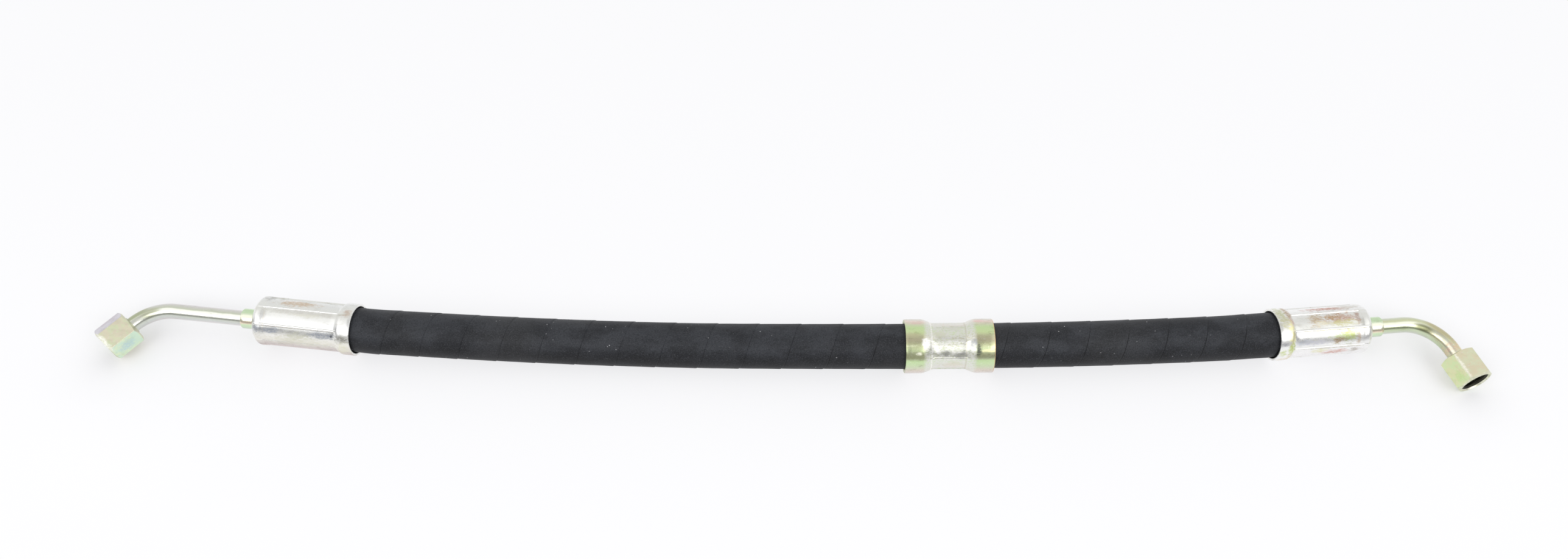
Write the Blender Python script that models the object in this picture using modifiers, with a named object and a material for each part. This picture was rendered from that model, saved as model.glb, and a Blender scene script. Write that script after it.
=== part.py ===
"""Hydraulic hose assembly with a bent tube end at each side.

A two-wire rubber hose has a ferrule crimped over a barbed stem at each end.
A bent steel tube is brazed into each stem, and its flared end carries a support
sleeve and a loose union nut, which slide back to the bend and turn freely.
A third sleeve is crimped over the hose to hold a restrictor in its bore.

Metres, +Z up. The hose lies along X, the bends point towards -Y, and the origin is
under the middle of the whole assembly, on the surface that it lies on.
"""

import math

import bmesh
import bpy
from mathutils import Matrix, Vector

# ---------------------------------------------------------------- hose
HOSE_BORE_RADIUS = 0.00635
LINER_WALL = 0.00165
WIRE_BRAID_WALL = 0.00075
INSULATION_WALL = 0.00040
COVER_WALL = 0.00080
LAYER_GAP = 0.00020          # between one layer of the hose and the next
CRIMP_SQUEEZE = 0.72         # what a crimp leaves of the hose's wall
HOSE_GRIP_LENGTH = 0.0430    # hose pushed into each ferrule
HOSE_STATION = 0.0500        # spacing of the hose's rings where it is free

# Centre line between the two ferrule mouths, as the hose lies: a shallow arc that
# rests on the surface beyond the middle and is lifted by the three sleeves.
HOSE_ROUTE = [
    (-0.2210, 0.00565, 0.0135),
    (-0.2120, 0.00466, 0.01349),
    (-0.1960, 0.00385, 0.0131),
    (-0.1460, 0.00135, 0.0124),
    (-0.0960, -0.00040, 0.0118),
    (-0.0460, -0.00165, 0.0118),
    (0.0040, -0.00230, 0.0126),
    (0.0510, -0.00265, 0.0136),
    (0.0830, -0.00235, 0.01391),
    (0.1150, -0.00165, 0.0139),
    (0.1610, 0.00030, 0.0135),
    (0.2150, 0.00340, 0.0133),
    (0.2395, 0.00526, 0.0136),
    (0.2490, 0.00625, 0.0135),
]

# ---------------------------------------------------------------- crimped ferrules
BELL_RADIUS = 0.0134         # open mouth, left uncrimped
BELL_LENGTH = 0.0072
BELL_WALL = 0.00125
FERRULE_RADIUS = 0.0127      # over the ridges that the dies leave
CRIMP_DEPTH = 0.00060        # from a ridge down to the pressed faces
TAIL_RING_LENGTH = 0.0034    # round between the ends of the dies and the shoulder
SHOULDER_LENGTH = 0.0034
TAIL_RADIUS = 0.0082
LIP_LENGTH = 0.0030          # tail wall, pressed into the stem's groove
SHOULDER_BULGE = 0.45        # share of the fall at the shoulder's lower corner
SHOULDER_ROUNDING = 0.15
BELL_EASE = 0.0012           # half the slope between the bell and the pressed part
GRIP_TEETH = 4
GRIP_TOOTH_DEPTH = 0.00050
GRIP_TOOTH_SLOPE = 0.35      # share of the pitch on a tooth's steep side
DIE_COUNT = 8
DIE_FACETS = 3               # flats across one die's face
RIDGE_WIDTH = 0.00095
DIE_LEAD = 0.0010            # sloped run-out at each end of a die

# ---------------------------------------------------------------- crimped collar
COLLAR_FROM_LEFT_MOUTH = 0.2812
COLLAR_LENGTH = 0.0450
COLLAR_END_RADIUS = 0.0138
COLLAR_END_LENGTH = 0.0094
COLLAR_CONE_LENGTH = 0.0050
COLLAR_WAIST_RADIUS = 0.0120
COLLAR_END_WALL = 0.0018
COLLAR_CRIMP_DEPTH = 0.00045
COLLAR_CRIMP_TURN = -22.0
RESTRICTOR_LENGTH = 0.0240
RESTRICTOR_ORIFICE_RADIUS = 0.0015
RESTRICTOR_THROAT_LENGTH = 0.0060

# ---------------------------------------------------------------- stems and tubes
STEM_NOSE_SETBACK = 0.0030   # stem's nose behind the ferrule's mouth
STEM_BORE_RADIUS = 0.0036
STEM_BARBS = 6
STEM_BARB_DEPTH = 0.00060
STEM_BARB_SLOPE = 0.12       # share of the pitch on a barb's steep side
STEM_GROOVE_RADIUS = 0.0046
SOCKET_RADIUS = 0.00515
SOCKET_LENGTH = 0.0079       # socket that shows between ferrule and tube
SOCKET_DEPTH = 0.0070        # how far the tube goes in
TUBE_RADIUS = 0.0040
TUBE_WALL = 0.0015
BEND_STEP = 7.75             # degrees between rings round the bend
END_STRAIGHT = 0.0145        # from the bend to the flare's face
FLARE_RADIUS = 0.0056
FLARE_ANGLE = 37.0           # degrees from the tube's axis

# ---------------------------------------------------------------- sleeves and nuts
SLEEVE_FRONT = 0.0008        # sleeve's front edge behind the flare's face
SLEEVE_HEAD_RADIUS = 0.0060
SLEEVE_HEAD_LENGTH = 0.0052
SLEEVE_TAIL_RADIUS = 0.0048
SLEEVE_LENGTH = 0.0092
SLEEVE_BEVEL = 0.0006
NUT_ACROSS_FLATS = 0.0170
NUT_LENGTH = 0.0160
NUT_REACH = 0.0064           # nut's mouth ahead of the flare when it is seated
NUT_FACE_RADIUS = 0.0079     # flat ring left inside the crown chamfer
NUT_CROWN_ANGLE = 30.0
THREAD_RADIUS = 0.0070       # M14 x 1.5, outside radius of the mating thread
THREAD_PITCH = 0.0015
THREAD_HEIGHT_SHARE = 0.5413 # depth of the nut's thread as a share of the pitch
NUT_MOUTH_RADIUS = 0.0072
NUT_MOUTH_CHAMFER = 0.0009
RELIEF_LENGTH = 0.0020
BEND_CLEARANCE = 0.0001      # sleeve's tail to the bend with the nut pushed back

# ---------------------------------------------------------------- the two ends
# How each ferrule was pressed, how its tube is bent and how its nut lies. Angles are
# in degrees, and a turn is measured from the plane of the bend.
ENDS = {
    "left": {
        "ferrule_length": 0.0536,
        "crimp_turn": 11.0,          # of one ridge
        "tube_straight": 0.0374,     # from the socket to the bend
        "bend_radius": 0.0240,
        "bend_angle": 54.15,
        "bend_drop": 9.3,            # that the plane of the bend dips below level
        "slid_back": 1.0,            # share of the nut's travel
        "hex_turn": -23.0,           # of one corner of the nut
    },
    "right": {
        "ferrule_length": 0.0506,
        "crimp_turn": -19.0,
        "tube_straight": 0.0118,
        "bend_radius": 0.0215,
        "bend_angle": 75.6,
        "bend_drop": 4.8,
        "slid_back": 0.0,
        "hex_turn": 9.0,
    },
}

# ---------------------------------------------------------------- fits and facets
SEAT_GAP = 0.00030           # between pieces that touch on the real hose
SLIDE_CLEARANCE = 0.00012    # sleeve on tube, nut on sleeve
HOSE_SIDES = 12
ROUND_SIDES = 24
SLEEVE_SIDES = 36            # outside of the ferrules and the collar
TUBE_SIDES = 16
CUT_OVERRUN = 0.0010
WELD_DISTANCE = 0.000001
SHARP_ANGLE = 28.0

# ---------------------------------------------------------------- worked out once
LINER_RADIUS = HOSE_BORE_RADIUS + LINER_WALL
INNER_BRAID_BORE = LINER_RADIUS + LAYER_GAP
INNER_BRAID_RADIUS = INNER_BRAID_BORE + WIRE_BRAID_WALL
INSULATION_BORE = INNER_BRAID_RADIUS + LAYER_GAP
INSULATION_RADIUS = INSULATION_BORE + INSULATION_WALL
OUTER_BRAID_BORE = INSULATION_RADIUS + LAYER_GAP
OUTER_BRAID_RADIUS = OUTER_BRAID_BORE + WIRE_BRAID_WALL
COVER_BORE = OUTER_BRAID_RADIUS + LAYER_GAP
HOSE_RADIUS = COVER_BORE + COVER_WALL
CRIMPED_HOSE_RADIUS = HOSE_BORE_RADIUS + (HOSE_RADIUS - HOSE_BORE_RADIUS) * CRIMP_SQUEEZE
SLEEVE_REACH = SLEEVE_FRONT + SLEEVE_LENGTH
NUT_TRAVEL = END_STRAIGHT - SLEEVE_REACH - BEND_CLEARANCE


def clear_scene():
    """Empties the file: objects first, then the collections that held them."""
    for obj in list(bpy.data.objects):
        bpy.data.objects.remove(obj, do_unlink=True)
    for group in list(bpy.data.collections):
        bpy.data.collections.remove(group)


def new_collection(name):
    group = bpy.data.collections.new(name)
    bpy.context.scene.collection.children.link(group)
    return group


def principled(name, colour, roughness, metallic):
    material = bpy.data.materials.new(name)
    material.use_nodes = True
    shader = material.node_tree.nodes["Principled BSDF"]
    shader.inputs["Base Color"].default_value = (*colour, 1.0)
    shader.inputs["Roughness"].default_value = roughness
    shader.inputs["Metallic"].default_value = metallic
    material.diffuse_color = (*colour, 1.0)
    return material


def around(radius, sides):
    """Corner radius of a bore with flat sides that clears a round of this radius."""
    return radius / math.cos(math.pi / sides)


# ---------------------------------------------------------------- placing pieces
def axes_at(origin, forward, side):
    """Matrix with Z along forward and X as near to side as a right angle allows."""
    z_axis = forward.normalized()
    y_axis = z_axis.cross(side).normalized()
    x_axis = y_axis.cross(z_axis)
    turn = Matrix((x_axis, y_axis, z_axis)).transposed()
    return Matrix.Translation(origin) @ turn.to_4x4()


def empty(name, matrix, parent=None):
    """Guide frame that pieces are parented to; matrix is in the parent's frame."""
    obj = bpy.data.objects.new(name, None)
    obj.empty_display_size = 0.01
    bpy.context.scene.collection.objects.link(obj)
    obj.parent = parent
    obj.matrix_local = matrix
    return obj


def place(obj, group, parent=None, material=None, turn=0.0):
    """Puts an object in its collection, on its parent's Z axis."""
    group.objects.link(obj)
    obj.parent = parent
    obj.rotation_euler = (0.0, 0.0, math.radians(turn))
    if material:
        obj.data.materials.append(material)
    return obj


def as_cutter(obj, parent=None, turn=0.0):
    place(obj, cutters, parent, turn=turn)
    obj.hide_render = True
    obj.display_type = "WIRE"
    return obj


def cut(obj, cutter, operation="DIFFERENCE"):
    modifier = obj.modifiers.new(operation.title() + " " + cutter.name, "BOOLEAN")
    modifier.operation = operation
    modifier.solver = "EXACT"
    modifier.object = cutter


def smooth(mesh):
    mesh.shade_smooth()
    mesh.set_sharp_from_angle(angle=math.radians(SHARP_ANGLE))


def evaluated_mesh(obj):
    """Mesh of an object with its curve or modifiers carried out."""
    bpy.context.scene.collection.objects.link(obj)
    bpy.context.view_layer.update()
    depsgraph = bpy.context.evaluated_depsgraph_get()
    mesh = bpy.data.meshes.new_from_object(obj.evaluated_get(depsgraph))
    bpy.data.objects.remove(obj, do_unlink=True)
    return mesh


# ---------------------------------------------------------------- kinds of shape
def turned(name, profile, sides):
    """Ring or spindle turned round Z.

    The profile is a list of (radius, height), down the outer side and up the bore.
    One that starts and ends on the axis makes a solid, any other makes a ring.
    """
    mesh = bpy.data.meshes.new(name)
    count = len(profile)
    solid = profile[0][0] == 0.0 and profile[-1][0] == 0.0
    edges = [(i, i + 1) for i in range(count - 1)]
    if not solid:
        edges.append((count - 1, 0))
    mesh.from_pydata([(radius, 0.0, height) for radius, height in profile], edges, [])
    blank = bpy.data.objects.new(name, mesh)
    screw = blank.modifiers.new("Turn", "SCREW")
    screw.axis = "Z"
    screw.angle = math.tau
    screw.steps = sides
    screw.render_steps = sides
    screw.use_merge_vertices = True
    screw.merge_threshold = WELD_DISTANCE
    mesh = evaluated_mesh(blank)
    mesh.name = name
    smooth(mesh)
    return bpy.data.objects.new(name, mesh)


def swept(name, points, radii, sides):
    """Closed bar along points, with its own radius at each of them."""
    curve = bpy.data.curves.new(name, "CURVE")
    curve.dimensions = "3D"
    curve.bevel_depth = 1.0
    curve.bevel_resolution = (sides - 4) // 2
    curve.use_fill_caps = True
    curve.twist_mode = "MINIMUM"
    spline = curve.splines.new("POLY")
    spline.points.add(len(points) - 1)
    for target, point, radius in zip(spline.points, points, radii):
        target.co = (*point, 1.0)
        target.radius = radius
    mesh = evaluated_mesh(bpy.data.objects.new(name, curve))
    mesh.name = name
    weld = bmesh.new()
    weld.from_mesh(mesh)
    bmesh.ops.remove_doubles(weld, verts=weld.verts, dist=WELD_DISTANCE)
    weld.to_mesh(mesh)
    weld.free()
    smooth(mesh)
    return bpy.data.objects.new(name, mesh)


def block(name, size):
    """Box centred on its own origin."""
    shape = bmesh.new()
    bmesh.ops.create_cube(shape, size=1.0)
    bmesh.ops.scale(shape, vec=size, verts=shape.verts)
    mesh = bpy.data.meshes.new(name)
    shape.to_mesh(mesh)
    shape.free()
    return bpy.data.objects.new(name, mesh)


def crimping_dies(name, face_radius, start, end, lead, outside, parent, turn):
    """Eight dies round the Z axis, closed on face_radius between two heights.

    The dies start as one faceted ring with sloped run-outs. Slots through the ring
    part it into dies, and what stands in a slot is not pressed: that is the ridge.
    """
    sides = DIE_COUNT * DIE_FACETS
    face = around(face_radius, sides)
    relief = face + lead
    length = end - start + 4.0 * lead
    ring = turned(name, [
        (outside, end + lead),
        (outside, start - lead),
        (relief, start - lead),
        (face, start),
        (face, end),
        (relief, end + lead),
    ], sides)
    as_cutter(ring, parent, turn)
    for number in range(DIE_COUNT // 2):
        slot = block(f"{name}_slot_{number + 1}", (3.0 * outside, RIDGE_WIDTH, length))
        as_cutter(slot, parent, turn + number * 360.0 / DIE_COUNT)
        slot.location = (0.0, 0.0, 0.5 * (start + end))
        cut(ring, slot)
    return ring


# ---------------------------------------------------------------- hose
def smooth_route(points, pieces=12):
    """Points of a smooth curve through the route's own points."""
    route = [Vector(point) for point in points]
    before = 2.0 * route[0] - route[1]
    after = 2.0 * route[-1] - route[-2]
    path = [before] + route + [after]
    curve = []
    for i in range(1, len(path) - 2):
        p0, p1, p2, p3 = path[i - 1:i + 3]
        for step in range(pieces):
            t = step / pieces
            curve.append(0.5 * (
                2.0 * p1
                + (p2 - p0) * t
                + (2.0 * p0 - 5.0 * p1 + 4.0 * p2 - p3) * t * t
                + (3.0 * p1 - p0 - 3.0 * p2 + p3) * t * t * t
            ))
    curve.append(route[-1])
    return curve


class CentreLine:
    """Hose centre line, measured from the left mouth and straight past both ends."""

    def __init__(self, points):
        self.points = smooth_route(points)
        self.reach = [0.0]
        for here, there in zip(self.points, self.points[1:]):
            self.reach.append(self.reach[-1] + (there - here).length)
        self.length = self.reach[-1]
        self.start_direction = (self.points[1] - self.points[0]).normalized()
        self.end_direction = (self.points[-1] - self.points[-2]).normalized()

    def at(self, distance):
        if distance <= 0.0:
            return self.points[0] + self.start_direction * distance
        if distance >= self.length:
            return self.points[-1] + self.end_direction * (distance - self.length)
        i = next(n for n, reach in enumerate(self.reach) if reach >= distance) - 1
        share = (distance - self.reach[i]) / (self.reach[i + 1] - self.reach[i])
        return self.points[i].lerp(self.points[i + 1], share)


def hose_stations(line):
    """(distance, pressed) along the hose: rings at each crimp and between them."""
    pressed_from = BELL_LENGTH + DIE_LEAD
    waist_start = COLLAR_FROM_LEFT_MOUTH + COLLAR_END_LENGTH + COLLAR_CONE_LENGTH
    waist_end = waist_start + collar_waist_length()
    ease = COLLAR_CONE_LENGTH + DIE_LEAD
    stations = [
        (-HOSE_GRIP_LENGTH, True),
        (-pressed_from, True),
        (-0.4 * pressed_from, False),
    ]
    stations += free_stations(0.0, waist_start - ease)
    stations += [
        (waist_start - ease, False),
        (waist_start, True),
        (waist_end, True),
        (waist_end + ease, False),
    ]
    stations += free_stations(waist_end + ease, line.length)
    stations += [
        (line.length + 0.4 * pressed_from, False),
        (line.length + pressed_from, True),
        (line.length + HOSE_GRIP_LENGTH, True),
    ]
    return stations


def free_stations(start, end):
    """Evenly spaced rings strictly between two distances."""
    count = max(2, round((end - start) / HOSE_STATION))
    return [(start + (end - start) * i / count, False) for i in range(1, count)]


def collar_waist_length():
    return COLLAR_LENGTH - 2.0 * (COLLAR_END_LENGTH + COLLAR_CONE_LENGTH)


def pressed_radius(radius, pressed):
    """Radius inside the hose's wall, drawn in towards the bore where it is crimped."""
    squeeze = CRIMP_SQUEEZE if pressed else 1.0
    return HOSE_BORE_RADIUS + (radius - HOSE_BORE_RADIUS) * squeeze


def hose_layer(name, line, bore, outside, material):
    """One layer of the hose's wall, from end to end, hollow."""
    stations = hose_stations(line)
    points = [line.at(distance) for distance, _ in stations]
    radii = [pressed_radius(outside, pressed) for _, pressed in stations]
    layer = place(swept(name, points, radii, HOSE_SIDES), parts, material=material)
    points[0] = line.at(stations[0][0] - CUT_OVERRUN)
    points[-1] = line.at(stations[-1][0] + CUT_OVERRUN)
    radii = [pressed_radius(bore, pressed) for _, pressed in stations]
    cut(layer, as_cutter(swept(name + "_bore", points, radii, HOSE_SIDES)))
    return layer


def build_hose(line):
    hose_layer("hose_inner_liner", line, HOSE_BORE_RADIUS, LINER_RADIUS, liner_rubber)
    hose_layer("inner_wire_braid", line, INNER_BRAID_BORE, INNER_BRAID_RADIUS, braid_wire)
    hose_layer("braid_insulation", line, INSULATION_BORE, INSULATION_RADIUS, liner_rubber)
    hose_layer("outer_wire_braid", line, OUTER_BRAID_BORE, OUTER_BRAID_RADIUS, braid_wire)
    hose_layer("hose_cover", line, COVER_BORE, HOSE_RADIUS, cover_rubber)


# ---------------------------------------------------------------- ferrules
def ferrule_blank(length):
    """Outside of a ferrule before it is pressed, mouth at height 0, tail at the top."""
    shoulder = length - SHOULDER_LENGTH
    fall = FERRULE_RADIUS - TAIL_RADIUS
    return [
        (0.0, length),
        (TAIL_RADIUS, length),
        (TAIL_RADIUS + SHOULDER_BULGE * fall, length - (1.0 - SHOULDER_BULGE) * SHOULDER_LENGTH),
        (FERRULE_RADIUS - SHOULDER_ROUNDING * fall, shoulder + SHOULDER_ROUNDING * SHOULDER_LENGTH),
        (FERRULE_RADIUS, shoulder - SHOULDER_ROUNDING * SHOULDER_LENGTH),
        (FERRULE_RADIUS, BELL_LENGTH + BELL_EASE),
        (BELL_RADIUS, BELL_LENGTH - BELL_EASE),
        (BELL_RADIUS, 0.0),
        (0.0, 0.0),
    ]


def ferrule_cavity(length):
    """Room inside a ferrule: the lip's hole, grip teeth on the hose, the open mouth."""
    tooth = around(CRIMPED_HOSE_RADIUS + SEAT_GAP, ROUND_SIDES)
    root = tooth + GRIP_TOOTH_DEPTH
    lip_hole = around(STEM_GROOVE_RADIUS + SEAT_GAP, ROUND_SIDES)
    mouth = BELL_RADIUS - BELL_WALL
    grip_start = BELL_LENGTH + DIE_LEAD
    grip_end = length - SHOULDER_LENGTH - TAIL_RING_LENGTH
    pitch = (grip_end - grip_start) / GRIP_TEETH
    profile = [
        (0.0, length + CUT_OVERRUN),
        (lip_hole, length + CUT_OVERRUN),
        (lip_hole, length - LIP_LENGTH),
        (TAIL_RADIUS, length - LIP_LENGTH),
        (tooth, grip_end),
    ]
    for number in range(GRIP_TEETH):
        top = grip_end - number * pitch
        profile += [(root, top - GRIP_TOOTH_SLOPE * pitch), (tooth, top - pitch)]
    profile += [
        (mouth, BELL_LENGTH - DIE_LEAD - BELL_EASE),
        (mouth, -CUT_OVERRUN),
        (0.0, -CUT_OVERRUN),
    ]
    return profile


def build_ferrule(side, fitting, length, turn):
    name = f"{side}_ferrule"
    ferrule = place(turned(name, ferrule_blank(length), SLEEVE_SIDES), parts, fitting, plated_steel)
    dies_start = BELL_LENGTH + DIE_LEAD
    dies_end = length - SHOULDER_LENGTH - TAIL_RING_LENGTH
    face = FERRULE_RADIUS - CRIMP_DEPTH
    outside = 2.0 * FERRULE_RADIUS
    dies = crimping_dies(name + "_dies", face, dies_start, dies_end, DIE_LEAD, outside, fitting, turn)
    cut(ferrule, dies)
    cavity = turned(name + "_cavity", ferrule_cavity(length), ROUND_SIDES)
    cut(ferrule, as_cutter(cavity, fitting))
    return ferrule


# ---------------------------------------------------------------- collar and restrictor
def collar_blank():
    """Outside of the collar: two cylindrical ends that curve in to a narrow waist."""
    half = 0.5 * COLLAR_LENGTH
    end = half - COLLAR_END_LENGTH
    waist = end - COLLAR_CONE_LENGTH
    drop = COLLAR_END_RADIUS - COLLAR_WAIST_RADIUS
    upper = [
        (COLLAR_END_RADIUS, half),
        (COLLAR_END_RADIUS, end),
        (COLLAR_END_RADIUS - 0.15 * drop, end - 0.25 * COLLAR_CONE_LENGTH),
        (COLLAR_WAIST_RADIUS + 0.15 * drop, waist + 0.25 * COLLAR_CONE_LENGTH),
        (COLLAR_WAIST_RADIUS, waist),
    ]
    lower = [(radius, -height) for radius, height in reversed(upper)]
    return [(0.0, half)] + upper + lower + [(0.0, -half)]


def collar_bore():
    half = 0.5 * COLLAR_LENGTH
    waist = 0.5 * collar_waist_length()
    pressed = around(CRIMPED_HOSE_RADIUS + SEAT_GAP, ROUND_SIDES)
    open_bore = COLLAR_END_RADIUS - COLLAR_END_WALL
    eased = waist + COLLAR_CONE_LENGTH + DIE_LEAD
    return [
        (0.0, half + CUT_OVERRUN),
        (open_bore, half + CUT_OVERRUN),
        (open_bore, eased - DIE_LEAD),
        (pressed, waist),
        (pressed, -waist),
        (open_bore, DIE_LEAD - eased),
        (open_bore, -half - CUT_OVERRUN),
        (0.0, -half - CUT_OVERRUN),
    ]


def build_collar(line):
    middle = COLLAR_FROM_LEFT_MOUTH + 0.5 * COLLAR_LENGTH
    quarter = 0.25 * COLLAR_LENGTH
    along = line.at(middle + quarter) - line.at(middle - quarter)
    axis = empty("collar_axis", axes_at(line.at(middle), along, Vector((0.0, -1.0, 0.0))))
    collar = place(turned("mid_collar", collar_blank(), SLEEVE_SIDES), parts, axis, plated_steel)
    waist = 0.5 * collar_waist_length()
    dies = crimping_dies(
        "mid_collar_dies", COLLAR_WAIST_RADIUS - COLLAR_CRIMP_DEPTH, -waist, waist,
        DIE_LEAD, 2.0 * COLLAR_END_RADIUS, axis, COLLAR_CRIMP_TURN,
    )
    cut(collar, dies)
    cut(collar, as_cutter(turned("mid_collar_bore", collar_bore(), ROUND_SIDES), axis))
    build_restrictor(axis)


def build_restrictor(axis):
    """Plug with a narrow throat, held in the hose's bore under the crimped waist."""
    outside = HOSE_BORE_RADIUS * math.cos(math.pi / HOSE_SIDES) - LAYER_GAP
    half = 0.5 * RESTRICTOR_LENGTH
    throat = 0.5 * RESTRICTOR_THROAT_LENGTH
    groove = outside - STEM_BARB_DEPTH
    outer = [(outside, half), (outside, 0.55 * half), (groove, 0.45 * half)]
    outer += [(radius, -height) for radius, height in reversed(outer)]
    inner = [
        (0.8 * outside, -half),
        (RESTRICTOR_ORIFICE_RADIUS, -throat),
        (RESTRICTOR_ORIFICE_RADIUS, throat),
        (0.8 * outside, half),
    ]
    place(turned("mid_restrictor", outer + inner, ROUND_SIDES), parts, axis, bright_steel)


# ---------------------------------------------------------------- stems and tubes
def stem_profile(length):
    """Barbed stem, nose towards the hose, with a socket for the tube at the top."""
    barb = HOSE_BORE_RADIUS * math.cos(math.pi / HOSE_SIDES) - LAYER_GAP
    root = barb - STEM_BARB_DEPTH
    groove_end = length + SEAT_GAP
    groove_start = length - LIP_LENGTH - SEAT_GAP
    barbs_end = HOSE_GRIP_LENGTH
    pitch = (barbs_end - STEM_NOSE_SETBACK) / STEM_BARBS
    socket_end = length + SOCKET_LENGTH
    socket_floor = socket_end - SOCKET_DEPTH
    socket = around(TUBE_RADIUS, ROUND_SIDES) + SLIDE_CLEARANCE
    outer = [
        (SOCKET_RADIUS, socket_end),
        (SOCKET_RADIUS, groove_end),
        (STEM_GROOVE_RADIUS, groove_end),
        (STEM_GROOVE_RADIUS, groove_start),
        (barb, groove_start),
    ]
    for number in range(STEM_BARBS):
        top = barbs_end - number * pitch
        outer += [(barb, top), (root, top - STEM_BARB_SLOPE * pitch)]
    outer += [(root, STEM_NOSE_SETBACK)]
    inner = [
        (STEM_BORE_RADIUS, STEM_NOSE_SETBACK),
        (STEM_BORE_RADIUS, socket_floor - SEAT_GAP),
        (socket, socket_floor - SEAT_GAP),
        (socket, socket_end),
    ]
    return outer + inner


def tube_line(end):
    """Centre line of a bent tube, from the socket's floor to the end of the bend."""
    socket_end = end["ferrule_length"] + SOCKET_LENGTH
    start = socket_end - SOCKET_DEPTH
    bend = socket_end + end["tube_straight"]
    radius = end["bend_radius"]
    bend_angle = end["bend_angle"]
    points = [Vector((0.0, 0.0, start)), Vector((0.0, 0.0, bend))]
    rings = math.ceil(bend_angle / BEND_STEP)
    for ring in range(1, rings + 1):
        angle = math.radians(bend_angle * ring / rings)
        points.append(Vector((
            radius * (1.0 - math.cos(angle)),
            0.0,
            bend + radius * math.sin(angle),
        )))
    turned_by = math.radians(bend_angle)
    return points, Vector((math.sin(turned_by), 0.0, math.cos(turned_by)))


def flare_length(from_radius, to_radius):
    return (to_radius - from_radius) / math.tan(math.radians(FLARE_ANGLE))


def build_tube(side, fitting, end):
    """Bent tube with a flared end; returns the frame on the flare's face."""
    points, way_out = tube_line(end)
    face = points[-1] + way_out * END_STRAIGHT
    bore = TUBE_RADIUS - TUBE_WALL
    cone = flare_length(TUBE_RADIUS, FLARE_RADIUS)
    outer_points = points + [face - way_out * cone, face]
    outer_radii = [TUBE_RADIUS] * (len(points) + 1) + [FLARE_RADIUS]
    name = f"{side}_bent_tube"
    tube = place(swept(name, outer_points, outer_radii, TUBE_SIDES), parts, fitting, tube_steel)
    flared_bore = FLARE_RADIUS - TUBE_WALL
    bore_cone = flare_length(bore, flared_bore)
    past_end = flared_bore + CUT_OVERRUN * math.tan(math.radians(FLARE_ANGLE))
    bore_points = [points[0] - Vector((0.0, 0.0, CUT_OVERRUN))] + points[1:]
    bore_points += [face - way_out * bore_cone, face + way_out * CUT_OVERRUN]
    bore_radii = [bore] * (len(points) + 1) + [past_end]
    cut(tube, as_cutter(swept(name + "_bore", bore_points, bore_radii, TUBE_SIDES), fitting))
    return empty(f"{side}_tube_end", axes_at(face, way_out, Vector((1.0, 0.0, 0.0))), fitting)


# ---------------------------------------------------------------- sleeves and nuts
def sleeve_profile():
    """Support sleeve behind the flare; heights run back from the flare's face."""
    bore = around(TUBE_RADIUS, ROUND_SIDES) + SLIDE_CLEARANCE
    cone = flare_length(TUBE_RADIUS, FLARE_RADIUS)
    seat = SEAT_GAP / math.cos(math.radians(FLARE_ANGLE))
    flare_here = TUBE_RADIUS + (cone - SLEEVE_FRONT) * math.tan(math.radians(FLARE_ANGLE))
    front_bore = around(flare_here + seat, ROUND_SIDES)
    seat_depth = flare_length(bore, front_bore)
    head_end = SLEEVE_FRONT + SLEEVE_HEAD_LENGTH
    return [
        (SLEEVE_HEAD_RADIUS, -SLEEVE_FRONT),
        (SLEEVE_HEAD_RADIUS, -head_end),
        (SLEEVE_TAIL_RADIUS, -head_end - SLEEVE_BEVEL),
        (SLEEVE_TAIL_RADIUS, -SLEEVE_REACH),
        (bore, -SLEEVE_REACH),
        (bore, -SLEEVE_FRONT - seat_depth),
        (front_bore, -SLEEVE_FRONT),
    ]


def nut_crown():
    """Turned outline that rounds off the hexagon's corners at both ends."""
    front = NUT_REACH
    back = NUT_REACH - NUT_LENGTH
    corner = NUT_ACROSS_FLATS / math.sqrt(3.0) + CUT_OVERRUN
    fall = (corner - NUT_FACE_RADIUS) * math.tan(math.radians(NUT_CROWN_ANGLE))
    return [
        (0.0, front),
        (NUT_FACE_RADIUS, front),
        (corner, front - fall),
        (corner, back + fall),
        (NUT_FACE_RADIUS, back),
        (0.0, back),
    ]


def nut_bore():
    """Inside of a nut: chamfered mouth, thread core, relief, shoulder and back hole."""
    front = NUT_REACH
    back = NUT_REACH - NUT_LENGTH
    core = THREAD_RADIUS - THREAD_HEIGHT_SHARE * THREAD_PITCH
    shoulder = -(SLEEVE_FRONT + SLEEVE_HEAD_LENGTH + SEAT_GAP)
    back_hole = around(SLEEVE_TAIL_RADIUS, ROUND_SIDES) + SLIDE_CLEARANCE
    bevel_end = shoulder - SLEEVE_BEVEL
    return [
        (0.0, front + CUT_OVERRUN),
        (NUT_MOUTH_RADIUS, front + CUT_OVERRUN),
        (NUT_MOUTH_RADIUS, front),
        (core, front - NUT_MOUTH_CHAMFER),
        (core, shoulder + RELIEF_LENGTH),
        (THREAD_RADIUS, shoulder + RELIEF_LENGTH),
        (THREAD_RADIUS, shoulder),
        (SLEEVE_HEAD_RADIUS, shoulder),
        (back_hole, bevel_end),
        (back_hole, back - CUT_OVERRUN),
        (0.0, back - CUT_OVERRUN),
    ]


def hexagon(name):
    """Six-sided bar, a little longer than the nut, with a corner on +X."""
    bar = bmesh.new()
    length = NUT_LENGTH + 2.0 * CUT_OVERRUN
    corner = NUT_ACROSS_FLATS / math.sqrt(3.0)
    middle = Matrix.Translation((0.0, 0.0, NUT_REACH - 0.5 * NUT_LENGTH))
    corner_to_x = Matrix.Rotation(math.radians(30.0), 4, "Z")
    bmesh.ops.create_cone(
        bar, cap_ends=True, segments=6, radius1=corner, radius2=corner, depth=length,
        matrix=middle @ corner_to_x,
    )
    mesh = bpy.data.meshes.new(name)
    bar.to_mesh(mesh)
    bar.free()
    return bpy.data.objects.new(name, mesh)


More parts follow.
